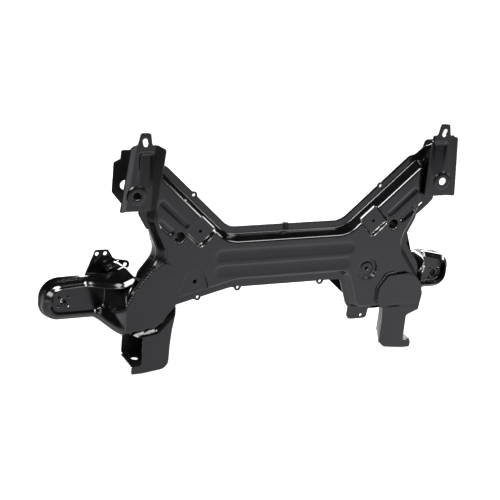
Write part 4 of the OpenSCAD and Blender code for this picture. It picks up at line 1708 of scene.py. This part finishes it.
@dataclass
class Weld:
    """A painted weld bead: a flattened round with ripples, half sunk in the sheet along a path.

    Attributes:
        name: Name of the piece.
        path: Points of the path, in millimetres.
        radius: Half the bead's width.
        ripple: Distance between ripples.
        flatness: Height of the bead as a share of its width.
        step: Distance between samples of the path.
        window: Number of samples, an odd one, over which the path is smoothed.
    """

    name: str
    path: list[tuple[float, float, float]]
    radius: float = 3.0
    ripple: float = 6.5
    flatness: float = 0.8
    step: float = 0.7
    window: int = 13

    def build(self, dresser: Dresser) -> None:
        """Builds the bead.

        Formula: the path is sampled evenly and smoothed. Round each sample lies an ellipse whose size swells
        with the ripples and shrinks to nothing at both ends.

        Args:
            dresser: Finishes the piece.
        """
        corners = np.array(self.path)
        run = np.concatenate([[0], np.cumsum(np.linalg.norm(np.diff(corners, axis=0), axis=1))])
        way = np.arange(0, run[-1], self.step)
        line = np.stack([np.interp(way, run, corners[:, k]) for k in range(3)], 1)
        half, mean = self.window // 2, np.full(self.window, 1 / self.window)
        soft = np.pad(line, ((half, half), (0, 0)), mode="reflect", reflect_type="odd")
        line = np.stack([np.convolve(soft[:, k], mean, "valid") for k in range(3)], 1)
        along = np.gradient(line, axis=0)
        along /= np.linalg.norm(along, axis=1)[:, None]
        out = np.array([0.0, -1.0, 0.0])
        side = np.cross(along, out)
        end = np.clip(np.minimum(way, way[-1] - way) / self.radius, 0, 1)
        swell = 0.7 + 0.5 * np.abs(np.sin(np.pi * way / self.ripple))
        size = self.radius * np.sqrt(1 - (1 - end) ** 2) * swell
        angle = np.linspace(0, 2 * np.pi, 14, endpoint=False)
        lift = self.flatness * out
        turn = side[:, None] * np.cos(angle)[None, :, None] + lift * np.sin(angle)[None, :, None]
        made = Mesh()
        made.add_grid(line[:, None] + turn * size[:, None, None])
        dresser.dress(settle(made.object(self.name)), WELD_PAINT, Slot.FRAME_PAINT)


@dataclass
class SmallPiece:
    """A small rigid piece kept as in the CAD, with joined faces and broken edges.

    Attributes:
        node: Name of the CAD node.
        edge: Width of the broken edges.
        coat: Its finish.
        slot: The record's slot.
    """

    node: str
    edge: float
    coat: Coat
    slot: Slot

    def build(self, dresser: Dresser) -> None:
        """Builds and finishes the copy."""
        piece = bevelled_node(self.node, f"{self.node}_piece", self.edge)
        dresser.dress(piece, self.coat, self.slot, self.node)


def leg_brackets() -> list[LegBracket]:
    """Both leg brackets, whose gussets differ.

    Returns:
        The right bracket and the left one.
    """
    right_gusset = [
        (340, 90, 6), (344, 126, 14), (337, 152, 10), (318, 172, 12), (299, 180, 10), (250, 177, 12),
        (231, 147, 14), (232, 112, 8), (249, 97, 4),
    ]
    left_gusset = [
        (351, 93, 6), (353, 148, 12), (337, 178, 14), (302, 223, 30), (278, 240, 10), (264, 238, 6),
        (238, 170, 10), (249, 92, 6),
    ]
    right_above = [(400, 105), (400, 400), (150, 400), (150, 108)]
    left_above = [(285, 101), (360, 90), (360, 400), (150, 400), (150, 252)]
    return [
        LegBracket(Side.RIGHT, right_gusset, right_above, groove=1.4, lean=3.5),
        LegBracket(Side.LEFT, left_gusset, left_above, groove=8.0, lean=0.0),
    ]


def gusset_welds() -> list[Weld]:
    """The welds along the gussets' edges.

    Returns:
        The left weld and the right one.
    """
    left = [(-353, -1.5, 150), (-337, -1.5, 179), (-302, -1.5, 224), (-279, -1.5, 241)]
    right = [(229, -1.0, 114), (228, -1.0, 147), (248, -1.5, 179), (272, -1.5, 182)]
    return [Weld("left_gusset_weld", left), Weld("right_gusset_weld", right)]


def small_pieces() -> list[SmallPiece]:
    """The small pieces with their edges and finishes.

    Returns:
        The pieces of both sides, then the single ones.
    """
    made = []
    for side in Side:
        word = side.word
        made += [
            SmallPiece(f"{word}_back_plate", 0.8, INNER_PAINT, Slot.INNER_PAINT),
            SmallPiece(f"{word}_leg_channel", 0.8, INNER_PAINT, Slot.INNER_PAINT),
            SmallPiece(f"{word}_line_bracket", 0.9, FRAME_PAINT, Slot.FRAME_PAINT),
            SmallPiece(f"{word}_arch_stay", 0.9, FRAME_PAINT, Slot.FRAME_PAINT),
            SmallPiece(f"{word}_rack_tube", 0.6, INNER_PAINT, Slot.INNER_PAINT),
            SmallPiece(f"{word}_pod_collar", 0.8, INNER_PAINT, Slot.INNER_PAINT),
        ]
    return made + [
        SmallPiece("lower_stay", 0.8, INNER_PAINT, Slot.INNER_PAINT),
        SmallPiece("flange_clip", 0.5, CLIP_COATING, Slot.CLIP_COATING),
        SmallPiece("weld_nuts", 0.5, INNER_PAINT, Slot.INNER_PAINT),
    ]


@dataclass
class Studio:
    """Floor, lights and camera, in metres of the row's frame.

    Attributes:
        camera_at: Where the camera is.
        right: Direction of the picture's right side.
        up: Direction of the picture's upper side.
        lens: Focal length in millimetres.
        sensor: Width of the camera's sensor in millimetres.
        lamp_aim: Point that the lamps are turned to.
        floor_tint: Colour of the floor's glow.
        floor_half: Half the floor's width.
        floor_gap: How far the floor lies under the feet.
    """

    camera_at: tuple[float, float, float] = (-1.3906, -2.7282, 1.2066)
    right: tuple[float, float, float] = (0.9048, -0.4141, 0.0989)
    up: tuple[float, float, float] = (0.0608, 0.3556, 0.9327)
    lens: float = 108.0
    sensor: float = 36.0
    lamp_aim: tuple[float, float, float] = (0.0, -0.1, 0.1)
    floor_tint: tuple[float, float, float] = (0.97, 0.985, 1.06)
    floor_half: float = 20.0
    floor_gap: float = 0.0005

    def build(self) -> None:
        """Sets up the whole studio."""
        self.camera()
        self.floor()
        self.world()
        self.lamp("overhead_left", (-1.0, -1.2, 1.9), (1.7, 0.75), 112.0)
        self.lamp("overhead_right", (0.95, -1.2, 1.9), (2.2, 0.75), 64.0)
        self.lamp("left_strip", (-2.25, -0.6, 0.75), (1.7, 0.7), 36.0)
        self.lamp("right_strip", (2.2, -0.2, 0.72), (1.7, 0.5), 34.0)
        self.lamp("back", (1.0, 2.1, 0.6), (3.2, 0.5), 60.0)
        bpy.context.scene.view_settings.view_transform = "Standard"

    def camera(self) -> None:
        """Puts the camera where the photograph was taken from."""
        data = bpy.data.cameras.new("camera")
        data.lens = self.lens
        data.sensor_width = self.sensor
        camera = bpy.data.objects.new("camera", data)
        bpy.context.scene.collection.objects.link(camera)
        right, up = Vector(self.right).normalized(), Vector(self.up).normalized()
        axes = Matrix((right, up, right.cross(up))).transposed().to_4x4()
        camera.matrix_world = Matrix.Translation(self.camera_at) @ axes
        bpy.context.scene.camera = camera

    def floor(self) -> None:
        """A pale floor that glows, brighter near the part, with a small share of soft shadow."""
        mesh = bpy.data.meshes.new("floor")
        half, z = self.floor_half, FLOOR_Z - self.floor_gap
        corners = [(-half, -half, z), (half, -half, z), (half, half, z), (-half, half, z)]
        mesh.from_pydata(corners, [], [(0, 1, 2, 3)])
        floor = bpy.data.objects.new("floor", mesh)
        bpy.context.scene.collection.objects.link(floor)
        mesh.materials.append(self.floor_paint())

    def floor_paint(self) -> bpy.types.Material:
        """Paint whose glow is the sum of three pools of light, and nearly white where the camera sees it.

        Returns:
            The material.
        """
        made = bpy.data.materials.new("floor_paint")
        made.use_nodes = True
        kit = Nodes(made.node_tree)
        vector = "ShaderNodeVectorMath"
        near = self.pool(kit, (0.4, -0.35), 1.95, 0.86)
        right = self.pool(kit, (1.3, -2.4), 2.3, 0.6)
        back = self.pool(kit, (0.0, 1.6), 1.7, 0.95)
        total = kit.math("ADD", kit.math("ADD", near, right, kind=vector), back, kind=vector)
        cool = kit.math("MULTIPLY", total, self.floor_tint, kind=vector)
        seen = kit.add("ShaderNodeLightPath").outputs["Is Camera Ray"]
        shader = made.node_tree.nodes["Principled BSDF"].inputs
        kit.feed(shader["Base Color"], (0.06, 0.06, 0.06, 1.0))
        kit.feed(shader["Roughness"], 0.25)
        kit.feed(shader["Emission Strength"], 1.0)
        kit.feed(shader["Emission Color"], kit.mix(seen, cool, self.pool(kit, (0.0, 0.0), 1.1, 0.86, 1.0)))
        return made

    def pool(
        self, kit: Nodes, middle: tuple[float, float], radius: float, light: float, rest: float = 0.0
    ) -> bpy.types.NodeSocket:
        """A round pool of light on the floor.

        Args:
            kit: Helper of the floor's tree.
            middle: Middle of the pool.
            radius: Where it ends.
            light: Its brightness in the middle.
            rest: Its brightness outside.

        Returns:
            The socket with the brightness.
        """
        place = kit.add("ShaderNodeTexCoord").outputs["Object"]
        distance = kit.math("DISTANCE", place, (*middle, FLOOR_Z), kind="ShaderNodeVectorMath")
        return kit.ramp(distance, 0.0, radius, light, rest)

    def world(self) -> None:
        """A white background round a room that is grey at the horizon and dark above."""
        world = bpy.data.worlds.new("studio")
        world.use_nodes = True
        kit = Nodes(world.node_tree)
        place = kit.add("ShaderNodeTexCoord").outputs["Generated"]
        height = kit.add("ShaderNodeSeparateXYZ", Vector=place).outputs["Z"]
        room = kit.ramp(height, 0.0, 0.17, 0.28, 0.01)
        seen = kit.add("ShaderNodeLightPath").outputs["Is Camera Ray"]
        colour = kit.mix(seen, room, (1.0, 1.0, 1.0, 1.0))
        kit.feed(world.node_tree.nodes["Background"].inputs["Color"], colour)
        bpy.context.scene.world = world

    def lamp(
        self, name: str, place: tuple[float, float, float], size: tuple[float, float], power: float
    ) -> None:
        """A soft box turned to the part.

        Args:
            name: Name of the lamp.
            place: Where it stands.
            size: Its width and height.
            power: Its power in watts.
        """
        data = bpy.data.lights.new(name, "AREA")
        data.shape = "RECTANGLE"
        data.size, data.size_y = size
        data.energy = power
        lamp = bpy.data.objects.new(name, data)
        bpy.context.scene.collection.objects.link(lamp)
        lamp.location = place
        aim = Vector(self.lamp_aim) - Vector(place)
        lamp.rotation_euler = aim.to_track_quat("-Z", "Y").to_euler()


def main() -> None:
    """Builds the pieces in order."""
    logging.basicConfig(level=logging.INFO, format="%(name)s: %(message)s")
    dresser = Dresser()
    Box().build(dresser)
    for side in Side:
        EndBracket(side).build(dresser)
        Pod(side).build(dresser)
    for piece in [*leg_brackets(), *gusset_welds(), *small_pieces()]:
        piece.build(dresser)
    Studio().build()


if __name__ == "__main__":
    main()
